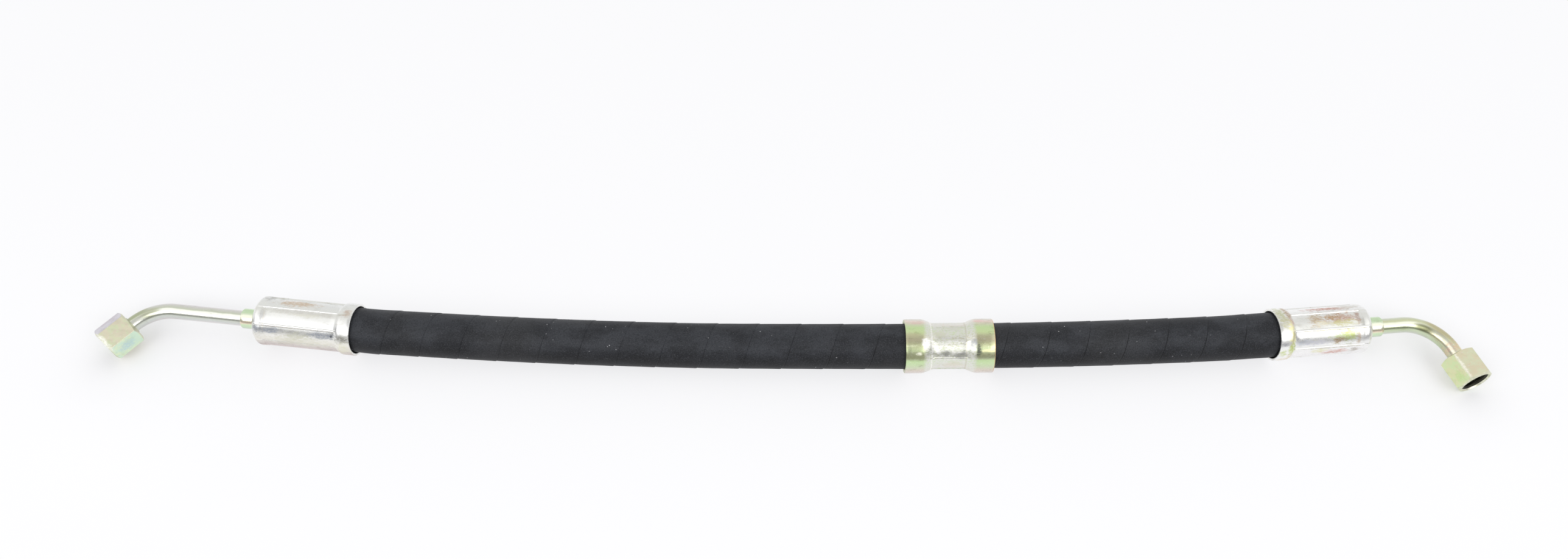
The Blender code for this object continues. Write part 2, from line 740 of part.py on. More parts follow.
def build_sleeve_and_nut(side, tube_end, end):
    """Sleeve and nut on one tube end, each on the axis that it moves along or about."""
    back = Matrix.Translation((0.0, 0.0, -end["slid_back"] * NUT_TRAVEL))
    axis = empty(f"{side}_nut_axis", back, tube_end)
    place(turned(f"{side}_flare_sleeve", sleeve_profile(), ROUND_SIDES), parts, axis, sleeve_steel)
    name = f"{side}_union_nut"
    nut = place(hexagon(name), parts, axis, nut_steel, end["hex_turn"])
    crown = as_cutter(turned(name + "_crown", nut_crown(), 2 * ROUND_SIDES), axis)
    cut(nut, crown, "INTERSECT")
    cut(nut, as_cutter(turned(name + "_bore", nut_bore(), ROUND_SIDES), axis))
    return axis


# ---------------------------------------------------------------- fittings
def build_fitting(side, mouth, outward):
    """Everything at one end of the hose, in a frame on the ferrule's mouth."""
    end = ENDS[side]
    length = end["ferrule_length"]
    level = outward.cross(Vector((0.0, 0.0, 1.0)))
    if level.y > 0.0:
        level.negate()
    dip = math.radians(end["bend_drop"])
    bend_side = level.normalized() * math.cos(dip) - Vector((0.0, 0.0, math.sin(dip)))
    fitting = empty(f"{side}_fitting", axes_at(mouth, outward, bend_side))
    build_ferrule(side, fitting, length, end["crimp_turn"])
    stem = turned(f"{side}_hose_stem", stem_profile(length), ROUND_SIDES)
    place(stem, parts, fitting, stem_steel)
    return build_sleeve_and_nut(side, build_tube(side, fitting, end), end)


def report(axes):
    """Prints where the joints and faces are, and how the assembly stands."""
    bpy.context.view_layer.update()
    low = Vector((1e9, 1e9, 1e9))
    high = -low
    depsgraph = bpy.context.evaluated_depsgraph_get()
    for obj in parts.objects:
        mesh = obj.evaluated_get(depsgraph).to_mesh()
        for vertex in mesh.vertices:
            point = obj.matrix_world @ vertex.co
            low = Vector(map(min, low, point))
            high = Vector(map(max, high, point))
    print("lowest corner", [round(value, 5) for value in low])
    print("highest corner", [round(value, 5) for value in high])
    print("nut travel", round(NUT_TRAVEL, 5), "hose between mouths", round(hose_line.length, 4))
    for side, axis in axes.items():
        matrix = axis.matrix_world
        print(side, "nut axis at", [round(value, 6) for value in matrix.translation])
        print(side, "nut axis along", [round(value, 6) for value in matrix.col[2][:3]])
        ring_radius = 0.5 * (NUT_MOUTH_RADIUS + NUT_FACE_RADIUS)
        on_face = matrix @ Vector((ring_radius, 0.0, NUT_REACH))
        mouth = matrix @ Vector((0.0, 0.0, NUT_REACH))
        print(side, "nut face at", [round(value, 6) for value in on_face])
        print(side, "nut mouth centre", [round(value, 6) for value in mouth])


clear_scene()
parts = new_collection("hydraulic_hose_assembly")
cutters = new_collection("cutters")

cover_rubber = principled("cover_rubber", (0.030, 0.031, 0.034), 0.78, 0.0)
liner_rubber = principled("liner_rubber", (0.020, 0.020, 0.021), 0.60, 0.0)
braid_wire = principled("braid_wire", (0.62, 0.55, 0.40), 0.40, 1.0)
plated_steel = principled("plated_steel", (0.74, 0.74, 0.70), 0.32, 1.0)
stem_steel = principled("stem_steel", (0.62, 0.70, 0.48), 0.25, 1.0)
tube_steel = principled("tube_steel", (0.62, 0.64, 0.46), 0.20, 1.0)
sleeve_steel = principled("sleeve_steel", (0.74, 0.56, 0.38), 0.30, 1.0)
nut_steel = principled("nut_steel", (0.52, 0.52, 0.30), 0.34, 1.0)
bright_steel = principled("bright_steel", (0.70, 0.71, 0.72), 0.30, 1.0)

hose_line = CentreLine(HOSE_ROUTE)
build_hose(hose_line)
build_collar(hose_line)
nut_axes = {
    "left": build_fitting("left", hose_line.points[0], -hose_line.start_direction),
    "right": build_fitting("right", hose_line.points[-1], hose_line.end_direction),
}
report(nut_axes)
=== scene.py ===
"""Hydraulic hose assembly: crimped ferrules, bent tube ends and loose union nuts."""

import math

import bmesh
import bpy
from mathutils import Matrix, Vector


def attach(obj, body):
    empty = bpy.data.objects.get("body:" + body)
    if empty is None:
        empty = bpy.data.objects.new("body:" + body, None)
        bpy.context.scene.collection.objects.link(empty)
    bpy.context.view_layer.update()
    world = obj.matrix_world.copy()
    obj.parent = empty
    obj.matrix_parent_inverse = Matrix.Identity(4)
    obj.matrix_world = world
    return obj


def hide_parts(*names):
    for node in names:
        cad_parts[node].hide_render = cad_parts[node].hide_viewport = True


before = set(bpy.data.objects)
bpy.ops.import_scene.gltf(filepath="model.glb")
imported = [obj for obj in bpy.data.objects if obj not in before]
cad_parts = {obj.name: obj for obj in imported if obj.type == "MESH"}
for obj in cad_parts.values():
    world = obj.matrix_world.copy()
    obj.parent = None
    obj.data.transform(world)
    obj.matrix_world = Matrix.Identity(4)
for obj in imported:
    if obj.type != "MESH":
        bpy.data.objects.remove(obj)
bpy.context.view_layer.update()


# ------------------------ hose
# Two-wire rubber hose, 23 mm outside. Its cover was cured under a wrapped cloth tape,
# so it carries the tape's fine weave and a shallow overlap step in a long spiral.
# Both ends go into the bells of the crimped ferrules.
class Shade:
    """One socket of a material's nodes; arithmetic on it adds Math nodes."""

    def __init__(self, tree, socket):
        self.tree = tree
        self.socket = socket

    def node(self, kind, settings, inputs, output=0):
        """Any other node: its type, its settings and what its sockets hold."""
        made = self.tree.nodes.new("ShaderNode" + kind)
        for name, value in settings.items():
            if name == "stops":
                ramp = made.color_ramp.elements
                ramp.remove(ramp[1])
                ramp[0].position, ramp[0].color = value[0]
                for position, colour in value[1:]:
                    ramp.new(position).color = colour
            else:
                setattr(made, name, value)
        for name, value in inputs.items():
            if isinstance(value, Shade):
                self.tree.links.new(value.socket, made.inputs[name])
            else:
                made.inputs[name].default_value = value
        return Shade(self.tree, made.outputs[output])

    def math(self, operation, other=0.0, reflected=False):
        """A Math node on this value and another, in the other order where reflected."""
        first, second = (other, self) if reflected else (self, other)
        return self.node("Math", {"operation": operation}, {0: first, 1: second})

    def __add__(self, other):
        return self.math("ADD", other)

    def __radd__(self, other):
        return self.math("ADD", other, reflected=True)

    def __sub__(self, other):
        return self.math("SUBTRACT", other)

    def __rsub__(self, other):
        return self.math("SUBTRACT", other, reflected=True)

    def __mul__(self, other):
        return self.math("MULTIPLY", other)

    def __rmul__(self, other):
        return self.math("MULTIPLY", other, reflected=True)

    def __truediv__(self, other):
        return self.math("DIVIDE", other)

    def __rtruediv__(self, other):
        return self.math("DIVIDE", other, reflected=True)

    def measure(self, operation, other=(0.0, 0.0, 0.0)):
        """Number from this vector: LENGTH, or DISTANCE or DOT_PRODUCT with another."""
        return self.node("VectorMath", {"operation": operation}, {0: self, 1: other}, output=1)

    def facing(self, direction):
        """How the surface at this point turns: 1 faces the direction, -1 faces away from it."""
        normal = Shade(self.tree, self.socket.node.outputs["Normal"])
        return normal.measure("DOT_PRODUCT", direction)

    def drawn_out(self, amount):
        """This point with every pattern on it drawn out along the hose."""
        settings = {"Vector": self, "Scale": (amount, 1.0, 1.0)}
        return self.node("Mapping", {"vector_type": "POINT"}, settings)

    def noise(self, scale, detail=3.0, roughness=0.55):
        """Cloudy value about 0.5 at this point, with scale in waves per metre."""
        settings = {"Scale": scale, "Detail": detail, "Roughness": roughness}
        return self.node("TexNoise", {}, {"Vector": self, **settings})

    def between(self, low, high, floor=0.0, ceiling=1.0):
        """Rises smoothly from floor to ceiling as the value goes from low to high."""
        return self.node(
            "MapRange",
            {"interpolation_type": "SMOOTHSTEP"},
            {"Value": self, 1: low, 2: high, 3: floor, 4: ceiling},
        )

    def tint(self, under, over):
        """Colour under, painted with over as far as this mask says."""
        return self.node("Mix", {"data_type": "RGBA"}, {0: self, 6: under, 7: over}, output=2)

    def darken(self, under, over):
        """Colour under, multiplied by over as far as this mask says."""
        settings = {"data_type": "RGBA", "blend_type": "MULTIPLY"}
        return self.node("Mix", settings, {0: self, 6: under, 7: over}, output=2)


def new_finish(name):
    """A material, its shader's sockets, and the point on the surface."""
    material = bpy.data.materials.new(name)
    material.use_nodes = True
    tree = material.node_tree
    shader = tree.nodes["Principled BSDF"]
    place = tree.nodes.new("ShaderNodeTexCoord").outputs["Object"]
    return material, shader, Shade(tree, place)


def put(shader, name, value):
    """Sets a socket of the shader, or links what feeds it."""
    if isinstance(value, Shade):
        value.tree.links.new(value.socket, shader.inputs[name])
    else:
        shader.inputs[name].default_value = value


def rough_up(shader, height, distance, strength=1.0):
    """Bump on the whole surface, height times distance in metres."""
    bump = height.node("Bump", {}, {"Height": height, "Distance": distance, "Strength": strength})
    put(shader, "Normal", bump)


def skin(name, rings, sharp=32.0):
    """Closed surface over rings of points, each joined to the next and the last to the first."""
    count = len(rings[0])
    faces = []
    for number in range(len(rings)):
        here = number * count
        there = (number + 1) % len(rings) * count
        for i in range(count):
            j = (i + 1) % count
            faces.append((here + i, here + j, there + j, there + i))
    mesh = bpy.data.meshes.new(name)
    mesh.from_pydata([point for ring in rings for point in ring], [], faces)
    return finish_mesh(name, mesh, sharp)


def finish_mesh(name, mesh, sharp):
    """Welds the mesh, turns its faces outward and links it as an object."""
    body = bmesh.new()
    body.from_mesh(mesh)
    bmesh.ops.remove_doubles(body, verts=body.verts, dist=0.000002)
    bmesh.ops.recalc_face_normals(body, faces=body.faces)
    body.to_mesh(mesh)
    body.free()
    mesh.shade_smooth()
    mesh.set_sharp_from_angle(angle=math.radians(sharp))
    piece = bpy.data.objects.new(name, mesh)
    bpy.context.scene.collection.objects.link(piece)
    return piece


route = [
    (-0.2210, 0.00565, 0.0135),
    (-0.2120, 0.00466, 0.01349),
    (-0.1960, 0.00385, 0.0131),
    (-0.1460, 0.00135, 0.0124),
    (-0.0960, -0.00040, 0.0118),
    (-0.0460, -0.00165, 0.0118),
    (0.0040, -0.00230, 0.0126),
    (0.0510, -0.00265, 0.0136),
    (0.0830, -0.00235, 0.01391),
    (0.1150, -0.00165, 0.0139),
    (0.1610, 0.00030, 0.0135),
    (0.2150, 0.00340, 0.0133),
    (0.2395, 0.00526, 0.0136),
    (0.2490, 0.00625, 0.0135),
]
points = [Vector(point) for point in route]
points = [2.0 * points[0] - points[1]] + points + [2.0 * points[-1] - points[-2]]
# a smooth curve through the points, in so many steps from each point to the next
curve_steps = 12
centre = []
for i in range(1, len(points) - 2):
    p0, p1, p2, p3 = points[i - 1:i + 3]
    for step in range(curve_steps):
        t = step / curve_steps
        bend = (2.0 * p0 - 5.0 * p1 + 4.0 * p2 - p3) * t * t
        twist = (3.0 * p1 - p0 - 3.0 * p2 + p3) * t * t * t
        centre.append(0.5 * (2.0 * p1 + (p2 - p0) * t + bend + twist))
centre.append(points[-2])
reach = [0.0]
for here, there in zip(centre, centre[1:]):
    reach.append(reach[-1] + (there - here).length)
free_length = reach[-1]
left_direction = (centre[0] - centre[1]).normalized()
right_direction = (centre[-1] - centre[-2]).normalized()


def hose_point(distance):
    """Point on the hose's centre line, measured from the left ferrule's mouth."""
    if distance <= 0.0:
        return centre[0] - left_direction * distance
    if distance >= free_length:
        return centre[-1] + right_direction * (distance - free_length)
    i = next(n for n, here in enumerate(reach) if here >= distance) - 1
    return centre[i].lerp(centre[i + 1], (distance - reach[i]) / (reach[i + 1] - reach[i]))


hose_radius = 0.0115
hidden_length = 0.0076
# the collar's place along the hose, and how its waist squeezes the cover
collar_start, collar_length = 0.2812, 0.0450
crimped_radius, squeeze_lead, squeeze_run = 0.0101, 0.0084, 0.006
# turns of the tape, and how far along the hose its edge then is
tape_marks = [(1.894, 0.01700), (7.894, 0.13764), (17.894, 0.35234), (22.894, 0.45315)]
tape_turns, steps_a_turn = 26, 72
# share of one turn's pitch, and how far the tape stands off the cover there
tape_profile = [
    (0.000, -0.00008), (0.013, -0.00010), (0.040, -0.00004), (0.100, -0.00002), (0.200, 0.00001),
    (0.350, 0.00003), (0.500, 0.00002), (0.650, 0.00004), (0.780, 0.00007), (0.870, 0.00010),
    (0.930, 0.00013), (0.965, 0.00014), (0.982, 0.00010), (0.993, 0.00000),
]


def tape_distance(turns):
    """Place of the tape's edge along the hose after so many turns; its pitch varies a little."""
    last = len(tape_marks) - 1
    i = next((n for n in range(1, last) if turns < tape_marks[n][0]), last)
    (turns_a, place_a), (turns_b, place_b) = tape_marks[i - 1:i + 1]
    return place_a + (place_b - place_a) * (turns - turns_a) / (turns_b - turns_a)


def hose_section(distance):
    """Centre and two directions across the hose at this distance."""
    nearby = 0.004
    along = (hose_point(distance + nearby) - hose_point(distance - nearby)).normalized()
    up = (Vector((0.0, 0.0, 1.0)) - along * along.z).normalized()
    return hose_point(distance), up, along.cross(up)


sections = {}
strands = len(tape_profile)
vertices = []
for step in range((tape_turns + 1) * steps_a_turn):
    for share, lift in tape_profile:
        distance = tape_distance(step / steps_a_turn + share)
        kept = min(max(distance, -hidden_length), free_length + hidden_length)
        key = round(kept, 5)
        if key not in sections:
            sections[key] = hose_section(key)
        middle, up, side = sections[key]
        inside = min(kept - collar_start, collar_start + collar_length - kept) - squeeze_lead
        pressed = min(1.0, max(0.0, inside) / squeeze_run)
        radius = hose_radius + (crimped_radius - hose_radius) * pressed
        radius += lift if kept == distance else 0.0
        angle = -math.tau * step / steps_a_turn
        vertices.append(middle + (up * math.cos(angle) + side * math.sin(angle)) * radius)
faces = []
for step in range(tape_turns * steps_a_turn - 1):
    for strand in range(strands):
        a = step * strands + strand
        b = (step + 1) * strands + strand
        if strand + 1 < strands:
            faces.append((a, b, b + 1, a + 1))
        else:
            c = (step + steps_a_turn) * strands
            faces.append((a, b, c + strands, c))
mesh = bpy.data.meshes.new("hose")
mesh.from_pydata(vertices, [], faces)
for number, polygon in enumerate(mesh.polygons):
    polygon.material_index = 1 if number % strands == 0 else 0
hose = finish_mesh("hose", mesh, 40.0)

# across the photographed view and upward: the rubber below is in its own shade
rising = (0.0, 0.7880, 0.6157)
for name, seam in (("wrapped_cover_rubber", False), ("tape_seam_rubber", True)):
    cover, shader, spot = new_finish(name)
    grain = spot.noise(1900.0, 4.0, 0.75)
    cloud = spot.drawn_out(0.5).noise(95.0, 4.0, 0.6)
    bloom = spot.noise(19.0, 3.0, 0.5)
    lean = spot.facing(rising)
    colour = cloud.between(0.38, 0.62).tint((0.0160, 0.0175, 0.0215, 1.0), (0.0350, 0.0380, 0.0450, 1.0))
    colour = lean.between(-0.10, -0.75).darken(colour, (0.30, 0.30, 0.32, 1.0))
    colour = bloom.between(0.50, 0.70, 0.0, 0.30).tint(colour, (0.040, 0.040, 0.040, 1.0))
    colour = grain.between(0.50, 0.70, 0.0, 0.75).tint(colour, (0.066, 0.068, 0.076, 1.0))
    colour = grain.between(0.50, 0.32, 0.0, 0.80).tint(colour, (0.004, 0.004, 0.005, 1.0))
    dust = spot.node("TexVoronoi", {}, {"Vector": spot, "Scale": 300.0, "Randomness": 1.0})
    dusty = spot.noise(60.0, 3.0, 0.7).between(0.52, 0.62)
    dust = (dust + (grain - 0.5) * 0.20).between(0.11, 0.05) * dusty
    colour = dust.tint(colour, (0.40, 0.40, 0.41, 1.0))
    if seam:
        # painted shade in the tape seam's groove, darker on the hose's right half and lower down
        along = spot.node("SeparateXYZ", {}, {"Vector": spot})
        seam_painted_shade = along.between(-0.05, 0.08, 0.30, 0.95)
        seam_painted_shade = seam_painted_shade * spot.noise(110.0).between(0.30, 0.52, 0.4, 1.0)
        seam_painted_shade = seam_painted_shade * lean.between(0.75, 0.15, 0.10, 1.0)
        colour = seam_painted_shade.darken(colour, (0.10, 0.10, 0.10, 1.0))
    put(shader, "Base Color", colour)
    put(shader, "Roughness", grain.between(0.3, 0.8, 0.50, 0.66))
    put(shader, "Specular IOR Level", 0.15 if seam else 0.27)
    rough_up(shader, grain * 0.8 + dust * 0.8, 0.00014, 0.9)
    hose.data.materials.append(cover)

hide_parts("hose_cover")
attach(hose, "hose_and_tubes")


# ------------------------ braids and liner
# What carries the pressure inside the cover: two braids of brass-coated wire with a
# rubber layer between them, round a smooth oil-proof liner. The ferrules hide their ends.
braid, shader, spot = new_finish("brass_coated_wire")
weave = spot.node("TexWave", {"bands_direction": "DIAGONAL"}, {"Vector": spot, "Scale": 900.0})
put(shader, "Base Color", weave.tint((0.34, 0.27, 0.15, 1.0), (0.74, 0.62, 0.38, 1.0)))
put(shader, "Metallic", 1.0)
put(shader, "Roughness", weave.between(0.0, 1.0, 0.5, 0.3))
rough_up(shader, weave, 0.0002)
liner, shader, spot = new_finish("smooth_liner_rubber")
soot_and_dark_reflection = spot.noise(300.0)
put(shader, "Base Color", soot_and_dark_reflection.tint((0.014, 0.014, 0.015, 1.0), (0.028, 0.028, 0.029, 1.0)))
put(shader, "Roughness", soot_and_dark_reflection.between(0.3, 0.7, 0.45, 0.6))
layers = {
    "inner_wire_braid": braid,
    "outer_wire_braid": braid,
    "braid_insulation": liner,
    "hose_inner_liner": liner,
}
for name, material in layers.items():
    layer = bpy.data.objects[name]
    layer.data.materials.clear()
    layer.data.materials.append(material)


# ------------------------ ferrules
# Steel sleeve over each hose end, pressed by eight dies: the bell mouth is left round,
# the dies' faces are parted by ridges, and the tail is pressed into the stem's groove.
# Zinc plating with a yellow passivation, dulled to silver, smeared and stained, with painted
# light and shade in its tints and painted dark reflection low at the front.
ferrule_length = {"left": 0.0536, "right": 0.0506}
# how far each tube bends below level, and how the dies stand round the ferrule, in degrees
bend_drop = {"left": 9.3, "right": 4.8}
crimp_turn = {"left": 11.0, "right": -19.0}
mouths = {"left": (centre[0], left_direction), "right": (centre[-1], right_direction)}
front = Vector((0.0, -0.6157, 0.7880))


def axes_at(origin, forward, side):
    """Matrix with Z along forward and X as near to side as a right angle allows."""
    z_axis = forward.normalized()
    y_axis = z_axis.cross(side).normalized()
    x_axis = y_axis.cross(z_axis)
    return Matrix.Translation(origin) @ Matrix((x_axis, y_axis, z_axis)).transposed().to_4x4()


fittings = {}
for side, (mouth, outward) in mouths.items():
    level = outward.cross(Vector((0.0, 0.0, 1.0)))
    if level.y > 0.0:
        level.negate()
    dip = math.radians(bend_drop[side])
    bend_side = level.normalized() * math.cos(dip) - Vector((0.0, 0.0, math.sin(dip)))
    fittings[side] = axes_at(mouth, outward, bend_side)


def spot_at(matrix, radius, height, degrees):
    """Frame on a round surface: X outward, Y round it and upward, Z along its axis.

    The angle runs from the line that faces the front, and is positive towards the top.
    """
    ahead = matrix.to_3x3().inverted() @ front
    middle = math.atan2(ahead.y, ahead.x)
    climb = (matrix.to_3x3() @ Vector((-math.sin(middle), math.cos(middle), 0.0))).z
    way = 1.0 if climb > 0.0 else -1.0
    angle = middle + math.radians(degrees) * way
    outward = Vector((math.cos(angle), math.sin(angle), 0.0))
    around = Vector((-math.sin(angle), math.cos(angle), 0.0)) * way
    turn = Matrix((outward, around, outward.cross(around))).transposed()
    place = outward * radius + Vector((0.0, 0.0, height))
    return matrix @ Matrix.Translation(place) @ turn.to_4x4()


def patch_mask(spot, ragged, where, size, fray):
    """Mask of one patch, for a smear and for painted light and shade alike: size is its half depth, half
    width and half length.

    Fray is how ragged its edge is, and below nought the edge fades out smoothly.
    """
    frame_of_smear = {"Location": where.translation, "Rotation": where.to_euler(), "Scale": size}
    place = spot.node("Mapping", {"vector_type": "TEXTURE"}, {"Vector": spot, **frame_of_smear})
    far = place.measure("LENGTH")
    if fray < 0.0:
        return far.between(1.1, 0.4)
    soft = min(0.43, 0.08 + 0.2 * fray)
    return (far + (ragged - 0.5) * (1.5 * fray)).between(0.82 + soft, 0.82 - soft)


# painted light and shade: the bands make each side of a part lighter or darker by how it faces the lamps
# and the floor, over the plating's own tint
def tint_with_painted_light(spot, bands, warp):
    """Tint by how far the surface turns from underneath, -1, past the front, 0, to the back, 1."""
    where = spot.facing(rising) * 0.5 + 0.5 + (spot.noise(70.0, 4.0, 0.6) - 0.5) * warp
    stops = [(0.5 + 0.5 * at, (*tone, 1.0)) for at, tone in bands]
    return where.node("ValToRGB", {"stops": stops}, {0: where})


def plated_metal(
    name, bands, stains_and_painted_light, low=0.22, high=0.40, spangle=300.0, warp=0.25, dirt=0.5, flats=()
):
    """Passivated zinc on steel: tints in bands, mottling, smears and fine scratches, with painted
    light and shade among the tints and smears.

    Each patch, a stain or painted light and shade, is a frame, its half sizes in mm, its colour,
    how much of it shows, and how frayed its edge is. Low and high are the roughness where the
    mottling is light and dark, and dirt is how strongly it darkens the tints. Each of the flats is
    the direction that a flat face looks in and the face's two tints.
    """
    finish, sockets, spot = new_finish(name)
    rubbed = spot.drawn_out(0.45)
    mottle = rubbed.noise(spangle, 5.0, 0.72)
    speck = rubbed.noise(1500.0, 3.0, 0.7)
    colour = tint_with_painted_light(spot, bands, warp)
    cloudy = spot.noise(210.0, 4.0, 0.65).between(0.40, 0.60)
    for way, paint, second in flats:
        face = cloudy.tint((*paint, 1.0), (*second, 1.0))
        colour = spot.facing(way).between(0.93, 0.985).tint(colour, face)
    colour = mottle.between(0.52, 0.66, 0.0, dirt).darken(colour, (0.74, 0.73, 0.69, 1.0))
    pits = (mottle * 0.6 + speck * 0.4).between(0.56, 0.66, 0.0, dirt)
    colour = pits.darken(colour, (0.66, 0.65, 0.60, 1.0))
    colour = speck.between(0.60, 0.72, 0.0, 0.5).tint(colour, (0.92, 0.92, 0.89, 1.0))
    ragged = rubbed.noise(750.0, 5.0, 0.78)
    flake = rubbed.noise(1700.0, 2.0, 0.6).between(0.49, 0.60, 1.0, 0.45)
    smears_and_painted_light = None
    for where, size, paint, amount, fray in stains_and_painted_light:
        half = tuple(0.001 * value for value in size)
        mask = patch_mask(spot, ragged, where, half, fray) * (flake * amount if fray >= 0.0 else amount)
        colour = mask.tint(colour, (*paint, 1.0))
        smears_and_painted_light = mask if smears_and_painted_light is None else smears_and_painted_light.math("MAXIMUM", mask)
    put(sockets, "Base Color", colour)
    put(sockets, "Metallic", 1.0)
    sheen = mottle.between(0.3, 0.75, low, high)
    if smears_and_painted_light is not None:
        sheen = sheen + smears_and_painted_light * 0.10
    put(sockets, "Roughness", sheen)
    rough_up(sockets, mottle * 0.55 + speck * 0.25, 0.00005, 0.55)
    return finish


def ferrule_rings(side, matrix):
    """Rings of points from the mouth's inside, over the outside and back to the mouth.

    A row is a radius, a distance from the mouth, how far the dies press there, and how far
    the ridges' ends stand up. The dies' faces and the ridges between them repeat eight times.
    """
    length = ferrule_length[side]
    dies_start, dies_end = 0.0086, length - 0.0068
    bell, ridge_top, die_flat = 0.0134, 0.0127, 0.01222
    mouth = [
        (0.01215, 0.0070), (0.01215, 0.0004), (0.01228, 0.0001), (0.0125, 0.0), (0.0130, 0.0),
        (0.01325, 0.0001), (bell, 0.0004), (bell, 0.0020), (0.01342, 0.0036), (bell, 0.0056),
        (0.01335, 0.0062), (0.0132, 0.0068),
    ]
    rows = [(radius, height, 0.0, 0.0) for radius, height in mouth]
    rows += [(0.0129, 0.0076, 0.3, 0.0), (0.01275, 0.0081, 0.7, 0.0)]
    spans = 16
    for n in range(spans + 1):
        rows.append((ridge_top, dies_start + (dies_end - 0.0002 - dies_start) * n / spans, 1.0, 0.0))
    rows += [
        (0.01268, dies_end + 0.0002, 0.72, 0.4), (0.01262, dies_end + 0.0006, 0.25, 0.8),
        (0.0126, dies_end + 0.0010, 0.08, 1.0),
        (0.01262, length - 0.0043, 0.0, 1.0), (0.01258, length - 0.0037, 0.0, 1.0),
        (0.01240, length - 0.0031, 0.0, 0.9), (0.01202, length - 0.0025, 0.0, 0.7),
        (0.01140, length - 0.0019, 0.0, 0.4), (0.01040, length - 0.0012, 0.0, 0.2),
    ]
    tail = [
        (0.00940, length - 0.0006), (0.00860, length - 0.0002), (0.00800, length),
        (0.00505, length), (0.0049, length - 0.0002), (0.0049, length - 0.0030),
        (0.0082, length - 0.0030), (0.0105, dies_end), (0.0105, 0.0100),
    ]
    rows += [(radius, height, 0.0, 0.0) for radius, height in tail]
    # angles across one die's face, from ridge to ridge
    half_face = [0.0, 0.9, 1.5, 2.1, 2.8, 3.6, 5.0, 8.0, 12.0, 17.0, 22.5]
    whole_face = half_face + [45.0 - value for value in reversed(half_face[1:-1])]
    angles = [crimp_turn[side] + 45.0 * die + value for die in range(8) for value in whole_face]
    rings = []
    for radius, height, press, noses in rows:
        ring = []
        for angle in angles:
            gap = abs((angle - crimp_turn[side] + 22.5) % 45.0 - 22.5)
            ridge = 1.0 - min(1.0, max(0.0, (gap - 1.0) / 2.2))
            ridge = ridge * ridge * (3.0 - 2.0 * ridge)
            turn = math.radians(angle)
            outward = Vector((math.cos(turn), math.sin(turn), 0.0))
            low_down = (matrix.to_3x3() @ outward).dot(Vector(rising)) < -0.4
            ridge *= 0.45 if side == "left" and low_down else 1.0
            flat = die_flat - 0.00003 * math.cos(math.radians(8.0 * (22.5 - gap)))
            here = radius - press * (radius - flat) * (1.0 - ridge) + 0.00016 * noses * ridge
            ring.append(matrix @ Vector((here * math.cos(turn), here * math.sin(turn), height)))
        rings.append(ring)
    return rings


tan, rust, soot_and_dark_reflection, olive = (0.66, 0.52, 0.38), (0.56, 0.29, 0.22), (0.45, 0.48, 0.53), (0.70, 0.70, 0.58)
rose, lime, amber = (0.72, 0.61, 0.58), (0.58, 0.66, 0.34), (0.96, 0.90, 0.62)
